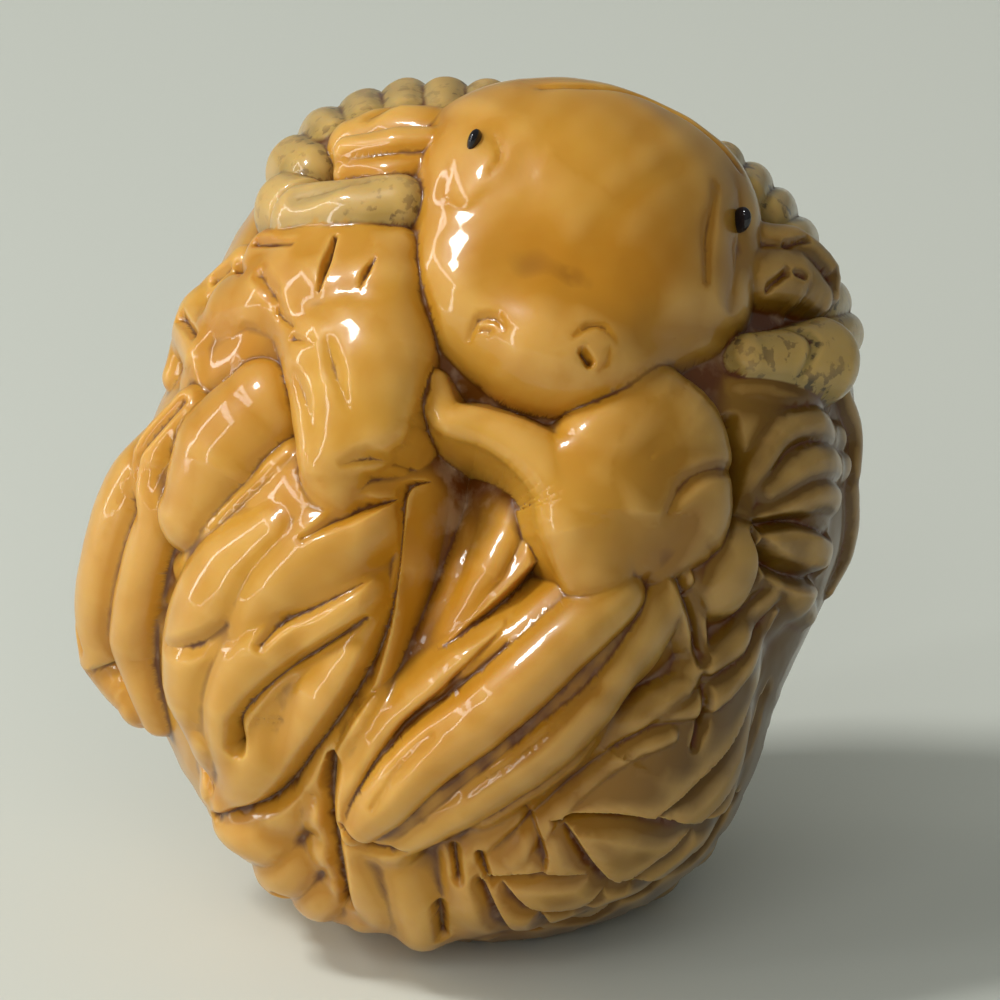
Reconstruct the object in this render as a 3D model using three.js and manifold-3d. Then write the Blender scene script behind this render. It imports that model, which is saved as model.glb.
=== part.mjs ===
/*
  Netsuke: a ram lying curled up, carved from one palm nut, with two inlaid eyes.
  Millimetres, +Z up, the face towards -Y. It rests on a small flat under the ball.

  The carver starts from the ball of the nut and works on its face. So does this model. A place on
  the face is given as [across, up] from the middle of the ball, looked at straight on. Lobes rise
  from the ball there and grooves are cut into them, along smooth lines through a few places.
  The same lines on the hidden side are marked BACK.
*/
import * as THREE from 'three';
import { mergeVertices } from 'three/addons/utils/BufferGeometryUtils.js';
import Module from 'manifold-3d';

const wasm = await Module();
wasm.setup();

// ---------- driving dimensions ----------
// Radius of the ball's rim by clock hour, from the right and round over the top.
const RIM = [18.7, 20.4, 21.4, 21.2, 19.6, 16.9, 17.7, 19, 21, 21.6, 21, 17.6];
const DEPTH_FRONT = 16.6;          // middle of the ball to its face
const DEPTH_BACK = 15.6;           // middle of the ball to its back
const FACE_TILT = 20;              // degrees that the face looks up
const BALL_CENTRE = [0.54, 1.75, 20.3]; // middle of the ball above the flat
const HORN_BEADS = 7;              // rings that show on each horn
const FLEECE_LOCKS = 10;           // locks of fleece on each side of the spine, in two tiers
const CORD_HOLE_RADIUS = 1.7;
const CORD_HOLE_SPACING = 10;
const CORD_TUNNEL_DEPTH = 5.5;
const EYE_SIZE = [0.38, 0.66, 0.8]; // half width, half height and half depth of an inlaid eye
const EYE_GAP = 0.3;

const FIRST_FACETS = 16;           // detail of the icosahedron that the ball starts from
const FACE_SHARE = 0.25;           // how far its facets gather towards the face
const SNAP = 0.32;                 // a corner this near the bottom of a groove slides onto it
const REFINE_PASSES = 2;
const SURFACE_TOLERANCE = 0.3;     // facets are halved until they lie this near the carved form
const SHORTEST_FACET = 0.9;
const BACK = true;

// ---------- the ball and places on it ----------
const WRAP_FROM = 0.97;            // past this share of the rim a place wraps round the side
const WRAP_RATE = 1 / Math.sqrt(1 - WRAP_FROM ** 2);

const HOURS = RIM.length;

function rimRadius(angle) {
  const hour = ((angle / (2 * Math.PI)) * HOURS + HOURS) % HOURS;
  const i = Math.floor(hour);
  const f = hour - i;
  const [a, b, c, d] = [HOURS - 1, 0, 1, 2].map((k) => RIM[(i + k) % HOURS]);
  const bend = (2 * a - 5 * b + 4 * c - d) * f * f + (3 * b - 3 * c + d - a) * f ** 3;
  return b + ((c - a) * f + bend) / 2;
}

function ballAxes(dir) {
  const r = rimRadius(Math.atan2(dir.y, dir.x));
  return new THREE.Vector3(r, r, dir.z < 0 ? DEPTH_BACK : DEPTH_FRONT);
}

const LIFT_PASSES = 6;             // rounds that find the place under a raised crest

const onBall = (dir) => dir.clone().multiply(ballAxes(dir));
const outward = (dir) => dir.clone().divide(ballAxes(dir)).normalize();

function direction([across, up], lift, back) {
  let [u, v] = [across, up];
  let dir;
  for (let pass = 0; pass < LIFT_PASSES; pass++) {
    const angle = Math.atan2(v, u);
    const share = Math.hypot(u, v) / rimRadius(angle);
    const polar = Math.asin(Math.min(share, WRAP_FROM)) + Math.max(0, share - WRAP_FROM) * WRAP_RATE;
    const depth = Math.cos(polar) * (back ? -1 : 1);
    dir = new THREE.Vector3(Math.sin(polar) * Math.cos(angle), Math.sin(polar) * Math.sin(angle), depth);
    const n = outward(dir);
    [u, v] = [across - lift * n.x, up - lift * n.y];
  }
  return dir;
}

// ---------- what the carver's tools leave ----------
const ramp = (values, t) => {
  const list = [values].flat();
  const at = t * (list.length - 1);
  const i = Math.min(Math.floor(at), Math.max(list.length - 2, 0));
  return list.length === 1 ? list[0] : list[i] + (list[i + 1] - list[i]) * (at - i);
};

function smoothLine(places) {
  const points = places.map(([u, v]) => new THREE.Vector3(u, v, 0));
  return new THREE.CatmullRomCurve3(points, false, 'catmullrom');
}

// A stroke follows a smooth line on the ball, with a half width and a height along it.
const LINE_STEP = 1.1;
const MOST_STEPS = 18;
const REACH_MARGIN = 0.4;

class Stroke {
  constructor(places, halfWidth, height, { lift, back = false }) {
    const line = smoothLine(places);
    const steps = Math.min(MOST_STEPS, Math.max(3, Math.round(line.getLength() / LINE_STEP) + 2));
    this.nodes = [];
    for (let i = 0; i <= steps; i++) {
      const t = i / steps;
      const p = line.getPoint(t);
      const at = onBall(direction([p.x, p.y], lift, back));
      this.nodes.push({ at, width: ramp(halfWidth, t), height: ramp(height, t) });
    }
    const sum = this.nodes.reduce((total, n) => total.add(n.at), new THREE.Vector3());
    this.middle = sum.divideScalar(steps + 1);
    const spans = this.nodes.map((n) => n.at.distanceTo(this.middle) + 1.35 * n.width);
    this.reach = Math.max(...spans) + REACH_MARGIN;
  }

  nearest(q) {
    let best = { distance: Infinity };
    for (let i = 0; i + 1 < this.nodes.length; i++) {
      const [a, b] = [this.nodes[i], this.nodes[i + 1]];
      const [dx, dy, dz] = [b.at.x - a.at.x, b.at.y - a.at.y, b.at.z - a.at.z];
      const [ox, oy, oz] = [q.x - a.at.x, q.y - a.at.y, q.z - a.at.z];
      const t = THREE.MathUtils.clamp((ox * dx + oy * dy + oz * dz) / (dx * dx + dy * dy + dz * dz), 0, 1);
      const distance = Math.hypot(ox - t * dx, oy - t * dy, oz - t * dz);
      if (distance < best.distance) best = { distance, a, b, t };
    }
    const { distance, a, b, t } = best;
    const width = THREE.MathUtils.lerp(a.width, b.width, t);
    const height = THREE.MathUtils.lerp(a.height, b.height, t);
    return { distance, a, b, at: a.at.clone().lerp(b.at, t), width, height };
  }

  // Rounded like the top of a ball that is sunk into the surface.
  rise(q) {
    const { distance, width, height } = this.nearest(q);
    const h = Math.max(height, 0.001);
    const radius = h < width ? (width * width + h * h) / (2 * h) : width;
    const inside = Math.min(distance, radius);
    return Math.sqrt(radius * radius - inside * inside) - (radius - h) - 3 * Math.max(distance - radius, 0);
  }

  // A knife cut: sharp at the bottom, easing out to its edges.
  cut(q) {
    const { distance, width, height } = this.nearest(q);
    return height * Math.max(0, 1 - distance / width) ** 1.5;
  }
}

// One lock laid over the next: the surface drops at the line and slopes back up on its low side.
const LEFT = 1;                    // the low side of a step, looking along its line
const RIGHT = -1;
const STEP_EDGE = 0.3;

class Step extends Stroke {
  constructor(places, halfWidth, depth, low, lift) {
    super(places, halfWidth, depth, { lift });
    this.low = low;
  }

  cut(q) {
    const { distance, a, b, at, width, height } = this.nearest(q);
    const side = b.at.clone().sub(a.at).cross(q.clone().sub(at)).dot(at) * this.low;
    return side > 0
      ? height * Math.max(0, 1 - distance / width) ** 1.3
      : height * Math.max(0, 1 - distance / STEP_EDGE);
  }
}

function blend(a, b, softness) {
  const h = Math.max(softness - Math.abs(a - b), 0) / softness;
  return Math.max(a, b) + h * h * h * softness / 6;
}

const TOWARDS = new THREE.Vector3(0, 0, 1); // out of the face, towards who looks at it

// Eggs that melt into one mass and stand out of the ball, such as skull, cheeks and muzzle.
class Mass {
  constructor(eggs, softness) {
    this.softness = softness;
    this.eggs = eggs.map(({ place: [across, up], out, halfSizes, roll }) => ({
      centre: new THREE.Vector3(across, up, out),
      turn: new THREE.Quaternion().setFromAxisAngle(TOWARDS, THREE.MathUtils.degToRad(roll)),
      halfSizes: new THREE.Vector3(...halfSizes),
      thin: Math.min(...halfSizes),
    }));
    const sum = this.eggs.reduce((total, { centre }) => total.add(centre), new THREE.Vector3());
    this.middle = sum.divideScalar(eggs.length);
    const span = ({ centre, halfSizes }) => centre.distanceTo(this.middle) + Math.max(...halfSizes);
    this.reach = Math.max(...this.eggs.map(span));
  }

  clearance(p) {
    return -this.eggs.reduce((most, { centre, turn, halfSizes, thin }) => {
      const from = p.clone().sub(centre).applyQuaternion(turn).divide(halfSizes);
      return blend(most, (1 - from.length()) * thin, this.softness);
    }, -50);
  }

  // Steps in from outside until the mass is met.
  rise(q, n) {
    let height = 10;
    for (let step = 0; step < 40 && height > -3; step++) {
      const clear = this.clearance(q.clone().addScaledVector(n, height));
      if (clear < 0.004) return height;
      height -= clear;
    }
    return -50;
  }
}

// Places at even steps along a line through a few places.
function along(places, count) {
  return smoothLine(places).getSpacedPoints(count - 1).map((p) => [p.x, p.y]);
}

// A lobe is placed by its crest, and a groove by the surface that it is cut into.
function lobe(places, halfWidth, height, options = {}) {
  return new Stroke(places, halfWidth, height, { lift: 0.7 * Math.max(...[height].flat()), ...options });
}
const CUT_LIFT = 1.2;
const groove = (places, halfWidth, depth, lift = CUT_LIFT) => new Stroke(places, halfWidth, depth, { lift });
const step = (places, halfWidth, depth, low) => new Step(places, halfWidth, depth, low, CUT_LIFT);

// ---------- the forms, from the trunk out to the head ----------
const trunk = {
  base: 0,
  softness: 0.9,
  forms: [
    lobe([[-7.5, 9.1], [-11.5, 9.1], [-14, 7.5]], [3.4, 3.4, 3], [1.2, 1.4, 1.2]),
    lobe([[-8.5, -0.5], [-12.2, -5.5], [-13.2, -9.4], [-12, -14]], 
      [4.6, 5.2, 4.8, 3.6], [1.7, 2.3, 2.1, 1.3]),
    lobe([[-7, -4.5], [-7.5, -9.4], [-9, -13]], [3, 3, 2.4], [1.5, 1.6, 1]),
    lobe([[6.5, -5.5], [2, -10], [-2.5, -13.4], [-5.5, -16]], [3.2, 4.6, 4.4, 3.2], [2.5, 2.8, 2.6, 2]),
    lobe([[-6.5, -16], [-5.5, -18.4], [-3, -21]], [2.6, 3.2, 3.2], [1.5, 1.5, 1.3]),
    lobe([[8, -5.5], [11, -3.5], [14, -2.5]], [3.4, 3.4, 3.2], [1.7, 1.6, 1.4]),
    lobe([[12, -9.4], [10.5, -14], [7.5, -17], [2, -19.7]], [4.6, 5.6, 5.2, 4.4], [1.6, 1.9, 1.8, 1.5]),
    lobe([[15.5, 4.5], [16.2, 0.6], [15.5, -3.5]], [3.8, 4, 3.4], [1.3, 1.4, 1.2]),
    lobe([[-12.5, -15.4], [-9.5, -18.4], [-7, -20.2]], [2.6, 2.8, 2.4], [1.3, 1.3, 1.1]),
    lobe([[-16.5, 4.5], [-18.6, 1.1], [-19.5, -3.5], [-19.7, -7.5], [-18.6, -10.2]],
      [1.7, 2.1, 2.2, 2.2, 1.5], [1.4, 2.2, 2.7, 2.9, 1.8]),
    lobe([[-15.8, 2], [-17.2, -2], [-17.9, -6.5], [-17.1, -10.7]], 
      [1.4, 1.6, 1.6, 1.2], [1.3, 1.6, 1.8, 1.1]),
  ],
  locks: [
    // ridges of the belly
    lobe([[-2.9, 2], [-3.3, -3], [-4.6, -8.5]], [1.1, 1.2, 0.6], [0.1, 0.8, 0.3]),
    lobe([[-0.6, 2], [-1.5, -3], [-4.2, -9]], [0.9, 1, 0.5], [0.1, 0.7, 0.2]),
    lobe([[1.6, 1], [0.2, -3], [-3.4, -8.6]], [1.2, 1.2, 0.7], [0.1, 0.9, 0.3]),
    lobe([[2.8, -2], [0.8, -4.6], [-2.6, -7.6]], [0.7, 0.9, 0.5], [0.3, 0.7, 0.2]),
    // flutes of the left haunch
    lobe([[-9.6, 3], [-13, -0.2], [-15.2, -2.9]], [0.7, 0.9, 0.6], [0.34, 0.54, 0.27]),
    lobe([[-9.9, -0.9], [-12.5, -3.1], [-14, -6], [-14.5, -8.9], [-14.1, -11.6]],
      [1.2, 2.2, 2.3, 2.1, 1.2], [0.41, 0.75, 0.75, 0.61, 0.27]),
    lobe([[-4.6, -0.9], [-7.5, -2], [-9.6, -3.6], [-10.7, -5.2]], 
      [1.4, 1.9, 1.6, 0.9], [0.48, 0.61, 0.54, 0.2]),
    lobe([[-5.3, -4], [-8, -5.6], [-10.7, -7.6], [-11.7, -9.9], [-12.1, -12.6]],
      [0.9, 1.5, 1.7, 1.4, 0.8], [0.41, 0.68, 0.68, 0.54, 0.2]),
    lobe([[-6, -7.3], [-8.3, -9.8], [-10.3, -12.1], [-12.5, -14.2]], 
      [1, 1.9, 1.9, 0.9], [0.41, 0.68, 0.61, 0.27]),
    lobe([[-13.4, -11], [-13.7, -13.4]], [1.2, 0.9], [0.41, 0.34]),
    // strands of the right thigh
    lobe([[0.6, -5.2], [-2.2, -7.6], [-5, -10.1], [-6.5, -12.8], [-6.8, -14.6]],
      [0.7, 0.9, 1, 0.9, 0.6], [0.6, 0.8, 0.8, 0.8, 0.4]),
    lobe([[6.6, -3.6], [2, -7.9], [-0.4, -9.9], [-2.8, -11.8], [-4.8, -14], [-6, -15.4]],
      [1.3, 1.5, 1.5, 1.4, 1.3, 0.8], [0.9, 1.2, 1.2, 1.1, 1, 0.5]),
    lobe([[9.2, -3.4], [6.6, -8.3], [3.6, -11], [0.2, -13.6], [-3.4, -16.2]],
      [1.1, 1.5, 1.5, 1.3, 0.8], [0.8, 1.1, 1.1, 0.9, 0.4]),
    lobe([[9.6, -8.4], [7.6, -10], [4.6, -12.3], [1.2, -15.2], [-0.8, -17.2]],
      [0.7, 0.9, 0.9, 0.9, 0.6], [0.5, 0.7, 0.7, 0.6, 0.3]),
    lobe([[9, -10.6], [6.6, -12], [3.6, -14.6], [1.6, -16.8]], [0.5, 0.6, 0.7, 0.5], [0.3, 0.4, 0.4, 0.2]),
    // petals between the knee and the rump
    lobe([[8.7, -3.6], [10.2, -6.2], [9.9, -8]], [1, 1.1, 0.7], [0.6, 0.7, 0.4]),
    lobe([[12.4, -1.9], [11.9, -3.7]], [1.6, 1.7], [1, 0.9]),
    lobe([[10.9, -7.1], [12.4, -6], [13.9, -4.1]], [0.7, 0.9, 0.7], [0.5, 0.7, 0.5]),
    lobe([[8.4, -9.7], [10.9, -8.7], [13.4, -6.2], [14, -5]], [0.6, 0.7, 0.7, 0.5], [0.3, 0.5, 0.5, 0.3]),
    // folds of the right flank
    lobe([[16.1, 4.3], [14.4, 3.7], [13.5, 1.9], [13, 0.1]], [0.7, 0.8, 0.7, 0.6], [0.43, 0.58, 0.5, 0.29]),
    lobe([[12.9, 6.3], [14.9, 5.9], [17.4, 5.6]], [0.8, 0.9, 0.7], [0.29, 0.43, 0.36]),
    lobe([[14.4, 4], [16.1, 4.2], [18.2, 3.7]], [0.7, 0.9, 0.8], [0.36, 0.58, 0.43]),
    lobe([[14, 1], [15.8, 2.3], [18.4, 2.2]], [0.8, 1, 0.9], [0.5, 0.65, 0.5]),
    lobe([[13.8, -0.2], [16, 0.8], [17.8, 0.4]], [0.7, 0.9, 0.8], [0.43, 0.58, 0.43]),
    lobe([[14, -1.3], [15.8, -1.8], [17.4, -2.5]], [0.9, 1.4, 1], [0.65, 0.79, 0.58]),
    lobe([[14.4, -3.3], [16, -4.3], [16.9, -5.4]], [1.1, 1.4, 0.7], [0.5, 0.65, 0.36]),
    lobe([[18.4, 6], [19, 4], [19, 2]], [0.8, 0.9, 0.8], [0.5, 0.65, 0.5]),
    lobe([[18.9, 1.2], [19, -0.6], [18.8, -2.4], [18, -4]], [0.8, 0.9, 0.9, 0.6], [0.43, 0.58, 0.58, 0.36]),
    // tufts at the lower left and below
    lobe([[-12.8, -15.6], [-10.3, -16], [-8.3, -14.6]], [0.9, 1.3, 0.9], [0.39, 0.52, 0.39]),
    lobe([[-12.2, -17.4], [-10, -17.9], [-8, -16.6]], [0.8, 1.2, 0.9], [0.39, 0.52, 0.39]),
    lobe([[-10.4, -19.3], [-8.4, -19.4], [-7, -18.4]], [0.8, 1.1, 0.8], [0.33, 0.52, 0.33]),
    lobe([[-6.4, -16.3], [-5.6, -18.6], [-5.4, -20.8]], [0.9, 1.2, 0.9], [0.33, 0.45, 0.33]),
    lobe([[-4, -16.6], [-3, -19], [-2.8, -21.4]], [0.9, 1.2, 1], [0.33, 0.45, 0.33]),
    lobe([[-1.2, -17], [-0.8, -19], [0.2, -21.4]], [0.8, 1, 0.8], [0.26, 0.39, 0.26]),
  ],
  grooves: [
    // hollow under the chin
    groove([[-0.5, 3.2], [-1, 0], [-2.6, -4.5], [-4.4, -8.6]], [5, 5, 3.8, 1.6], [4.2, 3.6, 2.2, 0.4]),
    groove([[-3, 3.6], [-1.6, 3], [0.6, 2.2], [2.4, 0.4], [3.4, -2.4]], [1.6, 2, 2.2, 1.8, 1.2],
      [2, 3, 2.6, 1.6, 0.7]),
    groove([[-7.2, -0.6], [-5.8, 0.2], [-4.2, 0.5]], [0.5, 0.8, 0.5], [0.4, 0.8, 0.6]),
    // edge of the left haunch, and of the belly
    groove([
      [-2.5, 1.8], [-4, 1.2], [-4.1, -1.4], [-4.6, -5.5], [-5.9, -8.6], [-8.4, -12.2], [-10.4, -14.6],
      [-13.2, -15.3]],
      [0.9, 0.9, 0.8, 0.8, 0.8, 0.9, 0.8, 0.5], [2, 1.6, 1.1, 1.1, 1.2, 1.3, 1.2, 0.5]),
    groove([[3.2, -3.2], [1, -5], [-1.2, -6.5], [-3.1, -7.7]], [0.8, 0.9, 0.7, 0.5], [1.9, 1.3, 0.8, 0.3]),
    groove([[-7.4, -12.4], [-7.5, -14.4], [-7.1, -17], [-6.6, -19.7]], 
      [0.8, 0.8, 0.8, 0.6], [1.2, 1.4, 1.3, 0.9]),
    groove([[-6.8, -15.2], [-5.4, -16.3], [-3.6, -16.6]], [0.5, 0.7, 0.4], [0.5, 0.7, 0.3]),
    // between the petals
    groove([[9.5, -3], [10.5, -5.3], [10.9, -7.2]], [0.7, 0.8, 0.6], [1, 1.2, 0.8]),
    groove([[13.4, -1.2], [13.6, -2.8], [12.9, -4.6]], [0.6, 0.7, 0.5], [0.9, 0.9, 0.4]),
    groove([[11, -8.8], [10.9, -10.3], [10.5, -11.5]], [0.5, 0.6, 0.4], [0.6, 0.8, 0.5]),
    groove([[12.9, 4.6], [13.1, 2.4], [12.6, 0.2], [11, -1.4]], [0.6, 0.7, 0.7, 0.6], [0.8, 1, 1, 0.6]),
    groove([[13.7, -1.9], [14.9, -3], [16.6, -3.4], [17.8, -3.2]], [0.7, 0.8, 0.8, 0.6], [1.2, 1, 0.9, 0.7]),
    groove([[14, -0.7], [15.6, -0.5], [17.4, -1.2]], [0.5, 0.6, 0.5], [0.9, 0.8, 0.5]),
    // leaf-shaped locks of the rump, laid one over the next
    step([[14.4, -8.6], [12.6, -11.3], [10.4, -13.5], [8.4, -15.3]], 
      [1.4, 1.7, 1.7, 1.2], [0.54, 0.81, 0.81, 0.54], LEFT),
    step([[15, -10], [14.1, -12.2], [12.4, -14], [10.9, -15.3]], 
      [1.2, 1.5, 1.4, 1], [0.54, 0.81, 0.68, 0.41], LEFT),
    step([[4.4, -15.4], [6.9, -15.1], [8.9, -15.2], [11.1, -15.4], [13.6, -15]], [1, 1.5, 1.6, 1.4, 1],
      [1.08, 0.94, 0.94, 0.81, 0.41], RIGHT),
    step([[4.4, -15.9], [5.6, -17.5], [6.9, -18.4], [8.9, -17], [11.1, -15.4]], [1, 1.6, 1.6, 1.5, 1],
      [0.68, 0.94, 1.08, 0.94, 0.41], RIGHT),
    step([[7.7, -18.5], [9.6, -18.6], [11.6, -18], [13.4, -15.2]], 
      [1, 1.4, 1.4, 0.9], [0.54, 0.81, 0.81, 0.41], RIGHT),
    step([[0.7, -18.4], [3.4, -18], [6.4, -18.2]], [0.9, 1.2, 0.8], [0.94, 0.81, 0.54], RIGHT),
    step([[1.2, -18.7], [2.5, -19.7], [4.9, -19.8], [6.7, -18.4]], 
      [0.9, 1.3, 1.3, 0.8], [0.54, 0.81, 0.81, 0.41], RIGHT),
    step([[4.9, -20], [6.9, -20.3], [8.7, -19.8], [10.1, -18.5]], 
      [0.9, 1.2, 1.2, 0.8], [0.54, 0.81, 0.68, 0.41], RIGHT),
    step([[3, -20], [3.7, -21.1], [5.7, -21.5], [7.2, -20.6]], 
      [0.9, 1.2, 1.2, 0.8], [0.54, 0.81, 0.68, 0.41], RIGHT),
    step([[0.2, -18.7], [1.5, -21], [3, -21.8]], [0.9, 1.2, 0.8], [0.68, 0.81, 0.54], RIGHT),
    step([[2.4, -15], [3.2, -17], [3, -18.4]], [0.8, 1, 0.7], [0.27, 0.54, 0.27], RIGHT),
  ],
};

const leftArm = {
  softness: 1.5,
  forms: [
    lobe([[-13.2, 10.4], [-9.5, 11.4], [-5.2, 11.8]], [2.6, 2.9, 2.6], [1.8, 2.6, 2.5]),
    lobe([[-5.4, 11], [-5.2, 7.8], [-5.2, 4.4]], [2.8, 2.7, 1.5], [2.6, 3.1, 2.7]),
    lobe([[-8.4, 10.2], [-7.8, 7.5], [-7.7, 3.4]], [3, 2.5, 1.8], [2.6, 3.1, 2.6]),
    lobe([[-6.6, 8.4], [-6.4, 6], [-6.3, 4]], [2.6, 2.6, 2], [3, 3.3, 2.9]),
    lobe([[-14.8, 9.6], [-14, 7.8], [-14, 6.3]], [1.8, 1.6, 1], [1.5, 1.6, 1]),
    lobe([[-7.2, 4], [-7.6, 1.8], [-7.7, -0.8]], [2, 1.8, 1], [2.7, 2.4, 1.3]),
    lobe([[-11, 13], [-7.5, 13.6], [-4.4, 13.1]], [1.8, 1.8, 1.5], [1.8, 2.1, 2]),
    lobe([[-12.3, 12.6], [-14.6, 10], [-15.9, 7.2]], [1.2, 1.4, 1], [0.9, 1.1, 0.7]),
  ],
  grooves: [
    groove([[-6.9, 13], [-7.2, 11.6], [-7.5, 10.2]], [0.2, 0.35, 0.15], [0.5, 0.8, 0.2]),
    groove([[-4.9, 11.8], [-5.3, 11.1], [-5.6, 10.4]], [0.15, 0.3, 0.15], [0.2, 0.5, 0.1]),
    groove([[-12.1, 8.3], [-11.3, 8.6], [-10.4, 8.2]], [0.5, 0.7, 0.4], [0.6, 1, 0.4]),
    groove([[-10.4, 11.2], [-9.8, 10.3], [-9.2, 9.4]], [0.8, 0.8, 0.5], [0.4, 0.5, 0.2]),
    groove([[-13.5, 11.8], [-12.8, 12.4]], [0.5, 0.4], [0.7, 0.4]),
    groove([[-12.4, 12.4], [-11.5, 11.6]], [0.5, 0.4], [0.6, 0.4]),
    groove([[-14.8, 9.6], [-14, 8.6]], [0.5, 0.4], [0.6, 0.4]),
    groove([[-10.9, 13.1], [-9, 12.7]], [0.5, 0.4], [0.5, 0.3]),
    groove([[-6.3, 2.2], [-5.2, 2.5], [-3.8, 2.3]], [0.4, 0.6, 0.4], [0.2, 0.6, 0.5]),
  ],
};

const leftKnee = {
  softness: 1,
  forms: [
    lobe([[-11.8, 5.6], [-13.8, 3.2], [-15.4, 0]], [2.7, 3.2, 2.2], [2.1, 2.6, 1.9]),
    lobe([[-15, 5.3], [-16.5, 2.8], [-17.1, -0.5]], [1.3, 1.6, 1.2], [1.8, 2.2, 1.5]),
  ],
  grooves: [groove([[-14.5, 5.3], [-16.5, 2.3], [-17.1, -1]], 0.6, [0.4, 0.6, 0.4])],
};

const rightKnee = {
  softness: 2,
  forms: [
    lobe([[-2.5, 6.8], [-1.7, 5], [0.4, 4.3], [2.5, 3.2], [4.4, 1.4], [5, -0.6], [5.8, -3.3]],
      [0.8, 0.9, 1, 1.3, 1.8, 2, 1.6], [0.8, 1, 1.3, 1.9, 2.6, 3, 2.7]),
    lobe([[8.6, 4.8], [9.9, 3.4], [10.2, 1.2]], [3.2, 3.4, 3.2], [2.9, 3.2, 3.1]),
    lobe([[7, 3], [7.4, 0], [6.7, -2.9]], [3, 3, 1.8], [3.3, 3.4, 2.5]),
    lobe([[10.6, 0.6], [10.7, -0.7], [9, -2.6]], [2.2, 2.2, 1.4], [2.9, 2.8, 2.2]),
  ],
  grooves: [
  ],
};

const leftEar = {
  softness: 0.5,
  forms: [
    lobe([[-1.4, 19.1], [-4.2, 19.5], [-6.6, 19]], [1.2, 1.8, 1.4], [2.1, 2.3, 1.9]),
    lobe([[-6.6, 17.9], [-4.2, 18.2], [-1.8, 18.3]], [0.7, 0.8, 0.7], [2.6, 2.8, 2.7]),
    lobe([[-6.4, 17.1], [-4.2, 17], [-2, 17.6]], [1, 1.1, 0.8], [2.1, 2.2, 2.1]),
  ],
  grooves: [groove([[-5.2, 19], [-4, 19.7], [-2.8, 19.7]], [0.8, 1.1, 0.7], [0.3, 0.6, 0.3])],
};

const rightEar = {
  softness: 0.5,
  forms: [
    lobe([[13.9, 12.2], [15.8, 12], [17.2, 11]], [1.5, 1.7, 1], [2, 2.2, 1.8]),
    lobe([[14, 13.8], [15.8, 13.3], [17.4, 12.1], [17.8, 11]], [0.6, 0.8, 0.7, 0.5], [2.2, 2.4, 2.2, 1.8]),
  ],
  grooves: [
    groove([[14.2, 11], [14.8, 11.5]], 0.35, 0.5),
  ],
};

// Each horn is a row of rings that runs back from the brow, round the ear, to a stout tip.
const LEFT_HORN_LINE = [[4.5, 20.4], [0, 20.6], [-4.2, 20.6], [-7.4, 19.6], [-9.2, 17.8], [-9.8, 15.7]];
const RIGHT_HORN_LINE = [[12.4, 17.6], [14.5, 16.3], [16, 14.5], [17.2, 12.4], [18, 10.5], [18.5, 9]];

// Rings across a horn, that grow from its first size to its last.
function rings(line, count, first, last) {
  const at = along(line, count);
  return at.map(([u, v], i) => {
    const [before, after] = [at[Math.max(i - 1, 0)], at[Math.min(i + 1, count - 1)]];
    const run = new THREE.Vector2(after[0] - before[0], after[1] - before[1]).normalize();
    const size = THREE.MathUtils.lerp(first, last, i / (count - 1));
    const [across, up] = [-run.y / 2, run.x / 2];
    return lobe([[u - across, v - up], [u + across, v + up]], size, size);
  });
}

const leftHorn = {
  softness: 0.2,
  forms: [
    ...rings(LEFT_HORN_LINE, HORN_BEADS + 2, 1.25, 1.8),
    lobe([[-9.3, 15.2], [-6.8, 15.3], [-4.2, 15.6]], [1.7, 1.7, 1.5], [2.4, 2.7, 2.6]),
  ],
  grooves: [
    groove([[-10.4, 14.2], [-9.4, 15.4], [-8, 16.6]], [0.5, 0.6, 0.4], [0.5, 0.6, 0.3]),
  ],
};

const rightHorn = {
  softness: 0.2,
  forms: [
    ...rings(RIGHT_HORN_LINE, HORN_BEADS, 1.2, 1.2),
    lobe([[14.3, 8.1], [16.2, 7.8], [17.8, 7.8]], [1.2, 1.7, 2.1], [1.7, 2.4, 2.9]),
  ],
  grooves: [groove([[15.2, 9], [15.8, 8], [15.5, 6.6]], [0.5, 0.6, 0.4], [0.3, 0.4, 0.2])],
};

const ROLL = 16;                   // degrees that the head rolls to its left
const HEAD_LIFT = 3;
const head = {
  softness: 0.1,
  forms: [
    new Mass([
      { place: [5.1, 13.1], out: 9.2, halfSizes: [8.4, 7.6, 8], roll: ROLL },        // skull
      { place: [5, 15.4], out: 8, halfSizes: [8.2, 5.8, 6.6], roll: ROLL },          // crown
      { place: [0.3, 13], out: 9.6, halfSizes: [4.3, 7, 5.8], roll: 4 },             // left cheek
      { place: [10.2, 12.9], out: 7.6, halfSizes: [3.4, 5.2, 5.6], roll: 8 },        // right cheek
      { place: [-0.4, 10.6], out: 12, halfSizes: [3.7, 3.9, 5], roll: ROLL },        // left jaw
      { place: [4, 8.2], out: 13, halfSizes: [5.6, 4.1, 6.2], roll: ROLL },          // muzzle
      { place: [8.4, 10.6], out: 10.4, halfSizes: [4.6, 3.6, 5.4], roll: ROLL },     // right jaw
    ], 2.5),
  ],
  grooves: [
    groove([[11.3, 15.3], [11, 13.3], [11.3, 11.3]], [0.8, 0.8, 0.6], [0.4, 0.5, 0.3], HEAD_LIFT),
    // nostrils, and the mouth that shows as a line under the muzzle
    groove([[5.1, 7.6], [5.5, 7.2]], [0.4, 0.45], [0.7, 0.6], HEAD_LIFT),
  ],
};

const browBand = {
  softness: 0.5,
  forms: [lobe([[2.8, 20.5], [6, 20.5], [10, 19], [12.9, 17]], [0.7, 1, 1.1, 0.8], [1.2, 1.5, 1.5, 1.2])],
  grooves: [],
};

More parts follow.
